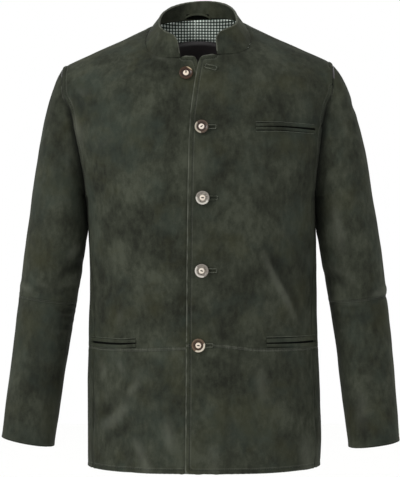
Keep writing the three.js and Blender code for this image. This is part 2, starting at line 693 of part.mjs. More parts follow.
const suede = { color: 0x3c4036, roughness: 0.95 };
const check = { color: 0x9aa59a, roughness: 0.9 };
const satin = { color: 0x1e1b1c, roughness: 0.5 };
const darkHorn = { color: 0x4a3323, roughness: 0.4 };
const paleHorn = { color: 0x9c9486, roughness: 0.4 };

function meshOf(name, geometry, look) {
  const mesh = new THREE.Mesh(geometry, new THREE.MeshStandardMaterial({ metalness: 0, ...look }));
  mesh.name = name;
  return mesh;
}

// --- the pieces ---

function bodySkins() {
  const grids = {};
  for (const side of [1, -1]) {
    for (const face of [-1, 1]) grids[nameOf(side) + face] = bodyGrid(side, face);
  }
  const cut = armholeAngles.length + sections.findIndex((row) => row.z === waist);
  const part = (name, flip, from, to) => ({ rows: grids[name].slice(from, to), flip });
  const whole = cut + sections.length;
  return {
    front_left_upper: skinOf(part("left-1", false, 0, cut + 1)),
    front_left_lower: skinOf(part("left-1", false, cut, whole)),
    front_right_upper: skinOf(part("right-1", true, 0, cut + 1)),
    front_right_lower: skinOf(part("right-1", true, cut, whole)),
    back_upper: skinOf(part("left1", true, 0, cut + 1), part("right1", false, 0, cut + 1)),
    back_lower: skinOf(part("left1", true, cut, whole), part("right1", false, cut, whole)),
    lining: (from, to) => skinOf(
      { rows: grids.left1.slice(from, to).map((row) => row.slice(0, linedColumns + 1)), flip: true },
      { rows: grids.right1.slice(from, to).map((row) => row.slice(0, linedColumns + 1)), flip: false },
    ),
  };
}

function collarMesh() {
  const neckLine = [...neckRows.front.slice(0, -1).reverse(), ...neckRows.back.slice(1)];
  const half = (side) => neckLine.map((row, k) => {
    const top = collarTop[k];
    const base = neckPoint(side, row);
    const rise = tilt(side, 0) * clamp(top.x / neckTilt, 0, 1);
    const end = point(side * top.x + top.centre, top.y, top.z + rise);
    return collarHeights.map((share) => base.clone().lerp(end, share));
  });
  const columns = [...half(-1), ...half(1).reverse().slice(1)];
  const rows = collarHeights.map((_, i) => columns.map((column) => column[i])).reverse();
  return meshOf("collar", wallOf(skinOf({ rows, flip: true }), collarWall), suede);
}

function hangerMesh() {
  const loops = Array.from({ length: hanger.steps + 1 }, (_, i) => {
    const share = i / hanger.steps;
    const x = mix(-hanger.half, hanger.half, share);
    const bow = Math.sin(Math.PI * share) ** 0.6;
    const inside = neckRows.back[5].y - collarWall - hanger.inset - hanger.bend * (x / hanger.half) ** 2;
    const y = inside - hanger.stand * bow;
    const z = hanger.z + hanger.arch * (bow - 1);
    const w = hanger.width / 2;
    return [
      point(x, y, z - w), point(x, y, z + w),
      point(x, y - hanger.thickness, z + w), point(x, y - hanger.thickness, z - w),
    ];
  });
  return meshOf("hanger_loop", barOf(loops), suede);
}

function buildJacket() {
  const jacket = new THREE.Group();
  const { lining, ...skins } = bodySkins();
  const normals = normalsOf(...Object.values(skins));
  for (const [name, skin] of Object.entries(skins)) {
    jacket.add(meshOf(name, wallOf(skin, suedeWall, normals), suede));
  }
  jacket.add(...sleeveMeshes(1), ...sleeveMeshes(-1), collarMesh(), hangerMesh());

  const inside = suedeWall + liningGap;
  const linings = { lining_check_yoke: [liningRows.check, check], lining_satin: [liningRows.satin, satin] };
  for (const [name, [rows, look]] of Object.entries(linings)) {
    jacket.add(meshOf(name, wallOf(lining(...rows), liningWall, normals, inside), look));
  }

  const fronts = Object.entries(skins).filter(([name]) => name.startsWith("front")).map(([, skin]) => skin);
  const find = frontFinder(fronts, normals);
  for (const [name, pocket] of Object.entries(pockets)) {
    jacket.add(meshOf(name + "_upper", weltBar(find, pocket, "above"), suede));
    jacket.add(meshOf(name + "_lower", weltBar(find, pocket, "below"), suede));
  }

  buttons.forEach((place, i) => {
    const spot = find(place.x, place.z);
    const mesh = meshOf("button_" + (i + 1), buttonGeometry(), place.dark ? darkHorn : paleHorn);
    mesh.position.copy(raised(spot, seamGap));
    mesh.quaternion.setFromUnitVectors(point(0, 1, 0), spot.normal);
    jacket.add(mesh);
    const eye = buttonhole.border + buttonhole.eye - buttonhole.length / 2;
    const hole = place.open ? openHole : { x: place.x - eye, z: place.z, eye };
    jacket.add(meshOf("buttonhole_" + (i + 1), buttonholeFrame(find, hole), suede));
  });
  return jacket;
}

export default buildJacket();
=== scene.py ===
import json
import math
import bpy
import bmesh
import numpy as np
from mathutils import Matrix, Vector, noise
from mathutils.kdtree import KDTree

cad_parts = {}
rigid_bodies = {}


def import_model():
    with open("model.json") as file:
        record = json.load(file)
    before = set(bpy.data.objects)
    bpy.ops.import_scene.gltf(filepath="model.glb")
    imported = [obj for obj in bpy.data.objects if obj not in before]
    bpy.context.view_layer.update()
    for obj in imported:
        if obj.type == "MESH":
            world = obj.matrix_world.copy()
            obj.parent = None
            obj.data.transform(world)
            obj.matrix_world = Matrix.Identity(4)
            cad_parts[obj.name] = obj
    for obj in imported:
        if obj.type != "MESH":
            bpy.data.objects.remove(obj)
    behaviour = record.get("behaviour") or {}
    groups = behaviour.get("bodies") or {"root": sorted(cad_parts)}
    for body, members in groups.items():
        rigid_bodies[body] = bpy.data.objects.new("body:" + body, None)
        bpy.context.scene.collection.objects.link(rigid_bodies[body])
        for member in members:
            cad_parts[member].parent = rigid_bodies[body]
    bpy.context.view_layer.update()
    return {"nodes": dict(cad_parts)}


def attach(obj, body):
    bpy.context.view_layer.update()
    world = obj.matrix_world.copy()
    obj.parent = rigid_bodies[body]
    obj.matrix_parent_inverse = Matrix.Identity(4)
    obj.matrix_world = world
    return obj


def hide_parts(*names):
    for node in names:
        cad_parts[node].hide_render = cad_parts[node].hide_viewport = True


# Green suede jacket with a standing collar, horn buttons and welt pockets. Sizes in the dictionaries are millimetres.

for spare in list(bpy.data.objects):
    bpy.data.objects.remove(spare)
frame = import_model()
scene = bpy.context.scene
mm = 0.001

camera = {"x": 4.4, "y": -2800, "z": -364.9, "lens": 120.75, "sensor": 36}
floorLook = {"size": 14, "drop": 1500, "colour": "#fcfcfb", "roughness": 0.9}
skyLook = {"colour": "#ffffff", "strength": 1.0}
lamps = [
    {"name": "softKey", "at": (-2200, -1900, 1300), "size": 1.1, "watts": 62},
    {"name": "softFill", "at": (1500, -2300, 300), "size": 1.6, "watts": 4},
]


def linear(colour):
    # sRGB from hex, or a grey level, as the linear colour that the nodes take
    if not isinstance(colour, str):
        return (colour, colour, colour, 1)
    parts = [int(colour[i:i + 2], 16) / 255 for i in (1, 3, 5)]
    return tuple(p / 12.92 if p <= 0.04045 else ((p + 0.055) / 1.055) ** 2.4 for p in parts) + (1,)


def feed(tree, node, inputs):
    # each input gets a value, or the output that feeds it
    for key, value in inputs.items():
        if isinstance(value, bpy.types.NodeSocket):
            tree.links.new(value, node.inputs[key])
        else:
            node.inputs[key].default_value = value


def addNode(tree, kind, inputs, stops=None, **settings):
    # a shader node with its settings and links; stops are a ramp's places and colours
    node = tree.nodes.new("ShaderNode" + kind)
    for key, value in settings.items():
        setattr(node, key, value)
    feed(tree, node, inputs)
    if stops:
        elements = node.color_ramp.elements
        elements.remove(elements[1])
        elements[0].position, elements[0].color = stops[0][0], linear(stops[0][1])
        for place, colour in stops[1:]:
            elements.new(place).color = linear(colour)
    return node.outputs


def newMaterial(name):
    material = bpy.data.materials.new(name)
    material.use_nodes = True
    tree = material.node_tree
    return material, tree, tree.nodes["Principled BSDF"]


def addObject(name, data):
    thing = bpy.data.objects.new(name, data)
    scene.collection.objects.link(thing)
    return thing


def meshOf(name, bm):
    mesh = bpy.data.meshes.new(name)
    bm.to_mesh(mesh)
    bm.free()
    return mesh


def setStage():
    lens = bpy.data.cameras.new("camera")
    lens.lens = camera["lens"]
    lens.sensor_width = camera["sensor"]
    lens.clip_end = 60
    view = addObject("camera", lens)
    view.location = [camera[axis] * mm for axis in "xyz"]
    view.rotation_euler = (math.pi / 2, 0, 0)
    scene.camera = view
    for lamp in lamps:
        light = bpy.data.lights.new(lamp["name"], "AREA")
        light.size = lamp["size"]
        light.energy = lamp["watts"]
        holder = addObject(lamp["name"], light)
        holder.location = Vector(lamp["at"]) * mm
        aim = Vector((0, 0, camera["z"] * mm)) - holder.location
        holder.rotation_euler = aim.to_track_quat("-Z", "Y").to_euler()
    world = bpy.data.worlds.new("studio")
    world.use_nodes = True
    tree = world.node_tree
    feed(tree, tree.nodes["Background"], {"Color": linear(skyLook["colour"]), "Strength": skyLook["strength"]})
    scene.world = world
    bm = bmesh.new()
    bmesh.ops.create_grid(bm, x_segments=2, y_segments=2, size=floorLook["size"] / 2)
    bmesh.ops.translate(bm, verts=bm.verts, vec=(0, 0, -floorLook["drop"] * mm))
    ground = addObject("floor", meshOf("floor", bm))
    paint, tree, shader = newMaterial("matt white studio floor")
    feed(tree, shader, {"Base Color": linear(floorLook["colour"]), "Roughness": floorLook["roughness"]})
    ground.data.materials.append(paint)
    scene.view_settings.view_transform = "Standard"


setStage()
print("stage set")

# Each crease is a line in x and z, its depth (under 0 for a ridge) and its width; then how much a ridge stands
# beside it, and which of its ends run out without dying away. right and left are the sleeves.
creases = {
    ("body", "front"): [
        ([(115, -368), (141, -424), (161, -458), (175, -489), (188, -515)], 4.6, 7.5, -0.55),
        ([(168, -385), (178, -412), (187, -432)], 2.2, 8, 0.3),
        ([(150, -330), (165, -372), (170, -400)], 1.4, 9),
        ([(-222, -112), (-200, -138), (-190, -160)], 3.0, 9, 0.4),
        ([(-198, -118), (-184, -132), (-172, -150)], 1.6, 6),
        ([(-214, -146), (-203, -180), (-196, -212)], -2.0, 7),
        ([(-170, -232), (-148, -222), (-124, -208)], 1.8, 10, 0.3),
        ([(-98, -46), (-76, -64), (-52, -76), (-28, -80)], 1.5, 6, 0.5),
        ([(88, -52), (89, -84), (86, -108)], 1.4, 9, 0.3),
        ([(28, -110), (27, -130), (30, -150)], 1.0, 7),
        ([(200, -120), (183, -128), (164, -130)], 1.1, 8),
        ([(-180, -438), (-186, -470), (-181, -500)], 1.2, 8, 0.3),
        ([(-133, -480), (-131, -500), (-135, -520)], -0.9, 6),
        ([(-103, -430), (-84, -450), (-92, -486)], 1.3, 14),
        # the skirt's diagonals on the wearer's right, fanning out from the lower side
        ([(-170, -693), (-140, -668), (-110, -636)], -2.6, 8),
        ([(-172, -672), (-146, -650), (-118, -606)], 2.2, 8, 0.2),
        ([(-156, -712), (-128, -690), (-96, -652)], 2.4, 8, 0.2),
        ([(-126, -640), (-104, -612), (-92, -590)], -1.6, 7),
        ([(-112, -694), (-98, -716), (-84, -750)], -1.8, 8, 0, (0, 1)),
        ([(-130, -706), (-118, -730), (-112, -760)], 1.6, 8, 0, (0, 1)),
        ([(-54, -660), (-48, -694), (-42, -730)], -1.7, 9),
        ([(-168, -566), (-158, -588), (-162, -612)], -1.5, 6, 0.4),
        ([(-136, -562), (-128, -584), (-120, -598)], -1.3, 6, 0.4),
        ([(-176, -620), (-180, -660), (-174, -700)], 1.4, 8),
        # the skirt on the wearer's left
        ([(104, -570), (108, -610), (114, -652)], -1.3, 10),
        ([(158, -592), (172, -606), (180, -628)], 1.7, 9),
        ([(60, -640), (56, -690), (62, -744)], 1.3, 12),
        ([(186, -690), (182, -722), (186, -762)], -1.6, 9, 0, (0, 1)),
        ([(20, -700), (28, -726), (26, -760)], -0.9, 9, 0, (0, 1)),
    ],
    ("body", "back"): [
        # a long soft trough under each shoulder blade, drag lines at the waist and the armholes
        ([(-196, -150), (-160, -205), (-132, -262)], 2.4, 11, 0.4),
        ([(204, -146), (170, -196), (140, -270)], 2.2, 10, 0.4),
        ([(-206, -232), (-178, -262), (-160, -300)], 1.5, 8, 0.3),
        ([(212, -240), (188, -280), (170, -306)], 1.7, 8, 0.3),
        ([(-120, -470), (-70, -486), (-14, -480)], 1.9, 9, 0.5),
        ([(30, -500), (86, -508), (134, -492)], 1.6, 8, 0.5),
        ([(-150, -520), (-104, -532), (-62, -526)], 1.1, 6, 0.4),
        ([(-86, -570), (-96, -650), (-92, -762)], -2.2, 14, 0, (0, 1)),
        ([(72, -580), (84, -660), (96, -762)], -2.0, 13, 0, (0, 1)),
        ([(0, -610), (-10, -690), (-4, -762)], 1.5, 12, 0, (0, 1)),
        ([(-24, -60), (2, -72), (34, -64)], 1.0, 8, 0.4),
    ],
    ("right", "front"): [
        ([(-300, -462), (-270, -452), (-236, -458), (-214, -452)], 1.5, 5, 0.5, (0, 1)),
        ([(-206, -484), (-224, -490), (-244, -488)], 1.9, 3.8, 0.5, (1, 0)),
        ([(-206, -498), (-222, -503), (-236, -500)], 1.7, 3.8, 0.5, (1, 0)),
        ([(-208, -514), (-230, -518), (-250, -512)], 1.6, 5, 0.4, (1, 0)),
        ([(-200, -408), (-222, -420), (-240, -436)], 3.0, 8, 0.4, (1, 0)),
        ([(-196, -372), (-214, -388), (-222, -410)], -1.6, 7),
        ([(-232, -426), (-246, -446), (-240, -460)], 1.8, 8),
        ([(-304, -446), (-292, -452), (-276, -462)], -1.5, 6, 0.3, (1, 0)),
        ([(-284, -520), (-270, -560), (-280, -600)], 1.4, 12),
        ([(-262, -596), (-250, -620), (-244, -650)], 1.2, 10),
        ([(-232, -170), (-240, -230), (-236, -290)], 1.8, 9, 0.3),
        ([(-268, -250), (-276, -310), (-270, -380)], 1.2, 14),
    ],
    ("right", "back"): [
        ([(-302, -440), (-270, -452), (-226, -446)], 2.2, 7, 0.5),
        ([(-306, -492), (-280, -500), (-240, -488)], 1.8, 6, 0.5),
        ([(-296, -380), (-262, -400), (-220, -396)], 1.5, 9, 0.4),
        ([(-258, -200), (-250, -270), (-262, -330)], 1.5, 12),
        ([(-300, -560), (-292, -620), (-300, -670)], 1.2, 11),
    ],
    ("left", "front"): [
        ([(236, -480), (262, -486), (296, -480)], 1.6, 5, 0.5, (1, 0)),
        ([(286, -474), (308, -468), (334, -466)], 1.5, 4.6, 0.5, (0, 1)),
        ([(240, -494), (266, -500), (290, -496)], 1.3, 5, 0.4, (1, 0)),
        ([(326, -452), (312, -458), (298, -470)], -1.9, 6, 0.3, (1, 0)),
        ([(224, -428), (248, -440), (262, -458)], 1.8, 8, 0.4, (1, 0)),
        ([(244, -136), (268, -132), (292, -142)], 1.8, 8, -0.5),
        ([(222, -150), (236, -170), (238, -204)], 1.9, 8, 0.3),
        ([(262, -200), (276, -262), (280, -330)], 1.4, 13),
        ([(232, -290), (242, -350), (250, -404)], -1.3, 9),
        ([(300, -540), (290, -590), (300, -650)], 1.4, 12),
        ([(272, -600), (282, -640), (278, -700)], -1.2, 10),
    ],
    ("left", "back"): [
        ([(320, -446), (286, -460), (240, -450)], 2.3, 7, 0.5),
        ([(328, -500), (292, -508), (250, -498)], 1.7, 6, 0.5),
        ([(310, -384), (280, -402), (232, -398)], 1.5, 9, 0.4),
        ([(262, -190), (270, -262), (262, -330)], 1.5, 12),
        ([(316, -560), (308, -622), (318, -676)], 1.2, 11),
    ],
}
creaseDepth = 1.25
creaseForm = {"taper": (-0.05, 0.45), "besideAt": 1.7}
unevenness = [(95, 1.3, 3.1), (34, 0.55, 7.7)]  # size, height and seed
bodyAxis = {"x": 10, "y": 5, "half": 200, "deep": 125, "lift": 0.9, "liftFrom": -115, "liftTo": -15, "level": 0.5,
            "flatten": 2.5, "shoulder": 60}
neckFade = {"half": 84, "deep": 88, "x": 1, "y": -10, "from": 1.02, "to": 1.3, "below": -75}
sideBlend = 28  # how far from y = 0 the front's creases give way to the back's
# the middle of each sleeve at some heights
sleeveAxes = {
    "left": [(-60, 232, 5), (-180, 245, 5), (-330, 262, 4.5), (-440, 277.5, 3.5), (-600, 294.5, -13),
             (-722, 303.8, -35)],
    "right": [(-60, -232, 5), (-180, -236, 5), (-330, -245, 4.5), (-440, -257.5, 3.5), (-600, -279, -13),
              (-722, -292, -35)],
}
# Where the sleeve lies against the body, in front: the body's edge rolls over it and leaves a deep valley, darkened
# further with painted shade.
valley = {"deep": 6.5, "bodyWidth": 4.5, "sleeveWidth": 13, "bodyShade": 2.4, "sleeveShade": 8, "top": (-104, -158),
          "bottom": (-372, -350), "front": (-5, 25), "behind": 0.3, "leftSide": 207, "rightSide": -191.5,
          "sideTop": -292, "middle": 5, "press": 2.5, "pressTop": (-288, -298), "pressSide": (0.5, 0.95)}
# The collar's base is let into the fronts by this much.
collarSeat = {"deep": 1.4, "height": 5}
collarBase = [(-92, -55), (-60, -41), (0, 0), (26, 12), (72, 28)]  # y and the height there
collarWave = {"from": 4, "to": 22, "size": 46, "height": 1.3, "seed": 5.5}


def smoothstep(low, high, value):
    t = np.clip((value - low) / (high - low), 0, 1)
    return t * t * (3 - 2 * t)


def hill(distance, width):
    return np.exp(-(distance / width) ** 2)


def unit(vectors):
    return vectors / (np.linalg.norm(vectors, axis=1)[:, None] + 1e-9)


def creaseHeight(x, z, line, depth, width, beside=0, openEnds=(0, 0)):
    # how far one crease moves the places x, z outwards
    line = np.array(line, float)
    steps = np.hypot(*np.diff(line, axis=0).T)
    best, side, along = np.full(len(x), 1e9), np.zeros(len(x)), np.zeros(len(x))
    done = 0.0
    for (x1, z1), (x2, z2), step in zip(line[:-1], line[1:], steps):
        ux, uz = (x2 - x1) / step, (z2 - z1) / step
        t = np.clip((x - x1) * ux + (z - z1) * uz, 0, step)
        dx, dz = x - x1 - t * ux, z - z1 - t * uz
        away = np.hypot(dx, dz)
        nearer = away < best
        best = np.where(nearer, away, best)
        side = np.where(nearer, np.sign(ux * dz - uz * dx), side)
        along = np.where(nearer, (done + t) / steps.sum(), along)
        done += step
    taper = 1
    for isOpen, fromEnd in zip(openEnds, (along, 1 - along)):
        taper = taper * (1 if isOpen else smoothstep(*creaseForm["taper"], fromEnd))
    signed = best * side * np.sign(beside) if beside else best
    ridge = abs(beside) * hill(signed - creaseForm["besideAt"] * width, width)
    return depth * taper * (ridge - hill(best, width))


def foldsOf(kind, places):
    # the creases' height alone, at every place of a panel
    x, y, z = places.T
    height = np.zeros(len(x))
    if kind == "collar":
        return height
    middle = 0 if kind == "body" else sleeveOut(places, kind)[1]
    front = 1 - smoothstep(-sideBlend, sideBlend, y - middle)
    for face, share in (("front", front), ("back", 1 - front)):
        for crease in creases[kind, face]:
            height += share * creaseHeight(x, z, *crease)
    return height * creaseDepth


def softNoise(places, scale, seed):
    return np.array([noise.noise(Vector(p) / scale + Vector((seed, 2 * seed, 0))) for p in places])


def wobble(places):
    return sum(softNoise(places, size, seed) * height for size, height, seed in unevenness)


# How the body's cloth moves: a direction outwards and a height for every place, in mm.
def bodyMove(places):
    x, y, z = places.T
    out = unit(np.stack([(x - bodyAxis["x"]) / bodyAxis["half"] ** 2, (y - bodyAxis["y"]) / bodyAxis["deep"] ** 2], 1))
    lift = bodyAxis["lift"] * smoothstep(bodyAxis["liftFrom"], bodyAxis["liftTo"], z)
    out = unit(np.column_stack([out * (1 - lift[:, None] * bodyAxis["level"]), lift]))
    fromNeck = np.hypot((x - neckFade["x"]) / neckFade["half"], (y - neckFade["y"]) / neckFade["deep"])
    fade = np.where(z > neckFade["below"], smoothstep(neckFade["from"], neckFade["to"], fromNeck), 1)
    return out * (fade * (foldsOf("body", places) + wobble(places)))[:, None]


def sleeveOut(places, side):
    heights, middles, deep = np.array(sleeveAxes[side][::-1], float).T
    x, y, z = places.T
    middle = np.interp(z, heights, deep)
    return unit(np.column_stack([x - np.interp(z, heights, middles), y - middle, 0 * z])), middle


def sleeveMove(places, side):
    x, y, z = places.T
    out = sleeveOut(places, side)[0]
    inward = -out[:, 0] if side == "left" else out[:, 0]
    height = foldsOf(side, places) + wobble(places)
    under = smoothstep(*valley["bottom"], z) * smoothstep(*valley["pressTop"], z)
    under = under * smoothstep(*valley["pressSide"], inward)
    return out * (height * (1 - under) + valley["press"] * under)[:, None]


def collarOut(places):
    x, y, z = places.T
    return unit(np.column_stack([x - neckFade["x"], y - neckFade["y"], 0 * z]))


def collarMove(places):
    x, y, z = places.T
    above = z - np.interp(y, *np.array(collarBase, float).T)
    wave = smoothstep(collarWave["from"], collarWave["to"], above)
    wave = wave * softNoise(places, collarWave["size"], collarWave["seed"]) * collarWave["height"]
    move = collarOut(places) * wave[:, None]
    move[:, 2] -= collarSeat["deep"] * (1 - smoothstep(0, collarSeat["height"], above))
    return move


def valleyOf(kind, places, arm):
    # how far the valley between a sleeve and the body moves each place in y, and how much painted shade darkens it
    x, y, z = places.T
    beside = np.abs(x - np.where(x > 0, valley["leftSide"], valley["rightSide"]))
    away = np.where(z < valley["sideTop"], np.minimum(arm, beside), arm)
    front = 1 - smoothstep(*valley["front"], y)
    weight = smoothstep(*valley["top"], z) * smoothstep(*valley["bottom"], z)
    weight = weight * (front + valley["behind"] * (1 - front))
    width, shade = ("bodyWidth", "bodyShade") if kind == "body" else ("sleeveWidth", "sleeveShade")
    depth = valley["deep"] * hill(away, valley[width]) * weight
    return depth * np.where(y < valley["middle"], 1, -1), hill(away, valley[shade]) * weight


weld = 2e-5
rimAngle = 1.0  # radians between faces, past which an edge is a cut edge of the cloth
quads = {"angle_face_threshold": 1.2, "angle_shape_threshold": 1.6, "topology_influence": 2}


def cleanCopy(node):
    bm = bmesh.new()
    bm.from_mesh(frame["nodes"][node].data)
    bmesh.ops.remove_doubles(bm, verts=bm.verts, dist=weld)
    bmesh.ops.join_triangles(bm, faces=bm.faces, **quads)
    return bm


def isRim(edge):
    return edge.is_manifold and edge.calc_face_angle() > rimAngle


def smoothPiece(name, bm, levels, crease=1.0):
    layer = bm.edges.layers.float.new("crease_edge")
    for edge in bm.edges:
        if isRim(edge):
            edge[layer] = crease
    piece = addObject(name, meshOf(name, bm))
    finer = piece.modifiers.new("finer", "SUBSURF")
    finer.levels = finer.render_levels = levels
    bpy.context.view_layer.update()
    done = bpy.data.meshes.new_from_object(piece.evaluated_get(bpy.context.evaluated_depsgraph_get()))
    done.name = name
    piece.modifiers.clear()
    piece.data = done
    done.shade_smooth()
    return piece


def vectorsOf(mesh, key):
    flat = np.empty(len(mesh.vertices) * 3)
    mesh.vertices.foreach_get(key, flat)
    return flat.reshape(-1, 3)


def placesOf(mesh):
    return vectorsOf(mesh, "co") / mm


def putPlaces(mesh, places):
    mesh.vertices.foreach_set("co", (places * mm).ravel())
    mesh.update()


def finish(piece, nodes):
    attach(piece, "root")
    if nodes:
        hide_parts(*nodes)


def meshPiece(name, bm, looksOf):
    # a piece of its own, made of a mesh in mm, that stands for no CAD node
    bmesh.ops.scale(bm, verts=bm.verts, vec=(mm, mm, mm))
    mesh = meshOf(name, bm)
    mesh.shade_smooth()
    for look in looksOf:
        mesh.materials.append(look)
    piece = addObject(name, mesh)
    finish(piece, [])
    return piece


# Each panel with the size of the cut it came from and its area, in metres, and how much darker it is: partly darker
# dye, partly painted shade.
panels = {
    "front_right_upper": {"flat": (0.27, 0.60), "area": 0.137, "kind": "body"},
    "front_left_upper": {"flat": (0.27, 0.60), "area": 0.139, "deeper": 0.08, "kind": "body"},
    "front_right_lower": {"flat": (0.26, 0.22), "area": 0.049, "kind": "body"},
    "front_left_lower": {"flat": (0.26, 0.22), "area": 0.052, "deeper": 0.05, "kind": "body"},
    "back_upper": {"flat": (0.58, 0.62), "area": 0.30, "kind": "body"},
    "back_lower": {"flat": (0.60, 0.23), "area": 0.128, "kind": "body"},
    "sleeve_right_upper": {"flat": (0.42, 0.44), "area": 0.116, "deeper": 0.03, "kind": "right"},
    "sleeve_right_lower": {"flat": (0.34, 0.26), "area": 0.082, "deeper": 0.16, "kind": "right"},
    "sleeve_left_upper": {"flat": (0.42, 0.44), "area": 0.12, "deeper": 0.04, "kind": "left"},
    "sleeve_left_lower": {"flat": (0.34, 0.26), "area": 0.083, "deeper": 0.06, "kind": "left"},
    "collar": {"flat": (0.47, 0.07), "area": 0.0185, "kind": "collar"},
}
panelLevels = 3
seamReach = 1.2  # how near another panel's edge lies where the two are sewn together
neckReach = 4.5  # and where one of them is the collar
sampleStep = 3
edgeReach = 20  # how far from an edge the distances are kept
bareEdge = 4.5
faintSeam = 1.8
liningFrom = 19.9  # how far inside a free edge the satin begins
# Painted shade darkens a crease's trough, and painted highlight with nap rubbing lightens its ridge, by these shares
# for each mm.
foldShadeAndRub = {"dark": 0.12, "darkest": 0.42, "light": 0.14, "lightest": 0.32}
edgeKinds = {"free": "freeEdge", "flat": "flatSeam", "arm": "armSeam", "plain": "plainSeam"}
# How the cloth rises and sinks beside a seam and beside a turned edge with its row of stitches.
seamForm = {"dip": 0.7, "dipWidth": 2.4, "puff": 0.5, "puffAt": 6.5, "puffWidth": 3.4}
flatForm = {"dip": 0.35, "dipWidth": 1.8, "puff": 0.35, "puffAt": 5, "puffWidth": 3}
turnForm = {"puff": 0.9, "puffAt": 2.6, "puffWidth": 3.2, "dip": 0.8, "dipAt": 7.2, "dipWidth": 2.2}


def rimSamples(bm):
    for edge in bm.edges:
        if not isRim(edge):
            continue
        a, b = (v.co / mm for v in edge.verts)
        count = max(1, int((b - a).length / sampleStep))
        for i in range(count + 1):
            yield a.lerp(b, i / count)


def treeOf(points):
    tree = KDTree(max(len(points), 1))
    for i, p in enumerate(points):
        tree.insert(p, i)
    tree.balance()
    return tree


def seamKind(name, mates):
    # what kind of edge a panel has where it meets the others; the waist and elbow seams are the flat ones
    if not mates:
        return "free"
    if any(name[:-5] == mate[:-5] for mate in mates):
        return "flat"
    return "arm" if any(("sleeve" in name) != ("sleeve" in mate) for mate in mates) else "plain"


def reachOf(name, mate):
    return neckReach if "collar" in (name, mate) else seamReach


def sortRims():
    cages = {name: cleanCopy(name) for name in panels}
    samples = {name: list(rimSamples(bm)) for name, bm in cages.items()}
    trees = {name: treeOf(found) for name, found in samples.items()}
    rims = {name: {kind: [] for kind in edgeKinds} for name in panels}
    for name, found in samples.items():
        for p in found:
            mates = [m for m, tree in trees.items() if m != name and tree.find(p)[2] < reachOf(name, m)]
            rims[name][seamKind(name, mates)].append(p)
    return cages, rims


def distances(points, places):
    if not points:
        return np.full(len(places), float(edgeReach))
    tree = treeOf(points)
    return np.array([min(tree.find(p)[2], edgeReach) for p in places])


def reliefOf(edges, sunk):
    height = turnForm["puff"] * hill(edges["free"] - turnForm["puffAt"], turnForm["puffWidth"])
    height -= turnForm["dip"] * hill(edges["free"] - turnForm["dipAt"], turnForm["dipWidth"])
    forms = [(seamForm, np.minimum(edges["plain"], edges["arm"])), (flatForm, edges["flat"])]
    for form, away in forms if sunk else []:
        height -= form["dip"] * hill(away, form["dipWidth"])
        height += form["puff"] * hill(away - form["puffAt"], form["puffWidth"])
    return height


def moveOf(kind, places):
    if kind == "collar":
        return collarMove(places)
    return bodyMove(places) if kind == "body" else sleeveMove(places, kind)


def outwardOf(kind, places):
    if kind == "collar":
        return collarOut(places)
    if kind in sleeveAxes:
        return sleeveOut(places, kind)[0]
    x, y, z = places.T
    up = np.where(z > -bodyAxis["shoulder"], bodyAxis["shoulder"], 0)
    return unit(np.column_stack([(x - bodyAxis["x"]) / bodyAxis["flatten"], y - bodyAxis["y"], up]))


def makePanel(name, bm, rims, looks):
    facts = panels[name]
    kind = facts["kind"]
    piece = smoothPiece(name + "_cloth", bm, panelLevels)
    mesh = piece.data
    places = placesOf(mesh)
    edges = {edge: distances(rims[edge], places) for edge in edgeKinds}
    if kind != "body":  # the cuffs and the collar have no row of stitches inside their edges
        edges["free"] = np.where(edges["free"] < bareEdge, edges["free"], edgeReach)
        edges["flat"] = np.maximum(edges["flat"], faintSeam)
    normals = vectorsOf(mesh, "normal")
    outer = (normals * outwardOf(kind, places)).sum(1) > 0
    relief = np.where(outer, reliefOf(edges, kind != "collar"), 0)
    moved = places + moveOf(kind, places) + normals * relief[:, None]
    shade = np.zeros(len(places))
    if kind != "collar":
        depth, shade = valleyOf(kind, places, edges["arm"])
        moved[:, 1] += depth
    folds = foldsOf(kind, places)
    # painted shade in the sleeve valley and the creases' troughs, and each panel's darker dye with painted shade;
    # painted highlight and nap rubbing on the ridges
    shade = np.maximum(shade, facts.get("deeper", 0) + np.clip(-folds * foldShadeAndRub["dark"], 0, foldShadeAndRub["darkest"]))
    ridgeRubAndHighlight = np.clip(folds * foldShadeAndRub["light"], 0, foldShadeAndRub["lightest"])
    putPlaces(mesh, moved)
    values = {attribute: edges[edge] / edgeReach for edge, attribute in edgeKinds.items()}
    for attribute, value in {**values, "shaded": shade, "ridgeRubAndHighlight": ridgeRubAndHighlight}.items():
        mesh.attributes.new(attribute, "FLOAT", "POINT").data.foreach_set("value", value)
    mesh.materials.append(looks["suede"])
    mesh.materials.append(looks["satin"])
    if kind != "collar":
        lineInside(mesh, outer, distances(rims["free"], places))
    finish(piece, [name])
    return piece


def lineInside(mesh, outer, free):
    for polygon in mesh.polygons:
        corners = list(polygon.vertices)
        if not outer[corners].any() and free[corners].min() >= liningFrom:
            polygon.material_index = 1


# Dyed split suede, brushed on the flesh side: a deep green that the nap turns lighter, bluer or more olive in soft
# clouds, with paler edges (rubbing and painted highlight) and painted shade in seams and folds. Matt, with a faint
# sheen where it turns away.
suedeLook = {
    "mottling": [(0.39, "#1a1c15"), (0.5, "#292c23"), (0.61, "#373a30")], "napShare": 0.36, "grainShare": 0.16,
    "blue": "#29312b", "olive": "#30301e", "patchMost": {"blue": 0.45, "olive": 0.38}, "patchFrom": 0.5,
    "patchTo": 0.68, "worn": "#55574e", "groove": "#14160f", "deepShade": "#0d0f0b", "paleEdgePatches": [(0.3, 0.45), (0.6, 1.0)],
    "roughness": 0.94, "specular": 0.15, "sheen": 0.06, "sheenRoughness": 0.45, "sheenTint": "#8c9280",
    "bump": 0.3, "napDeep": 1.2, "grainDeep": 0.5,
}
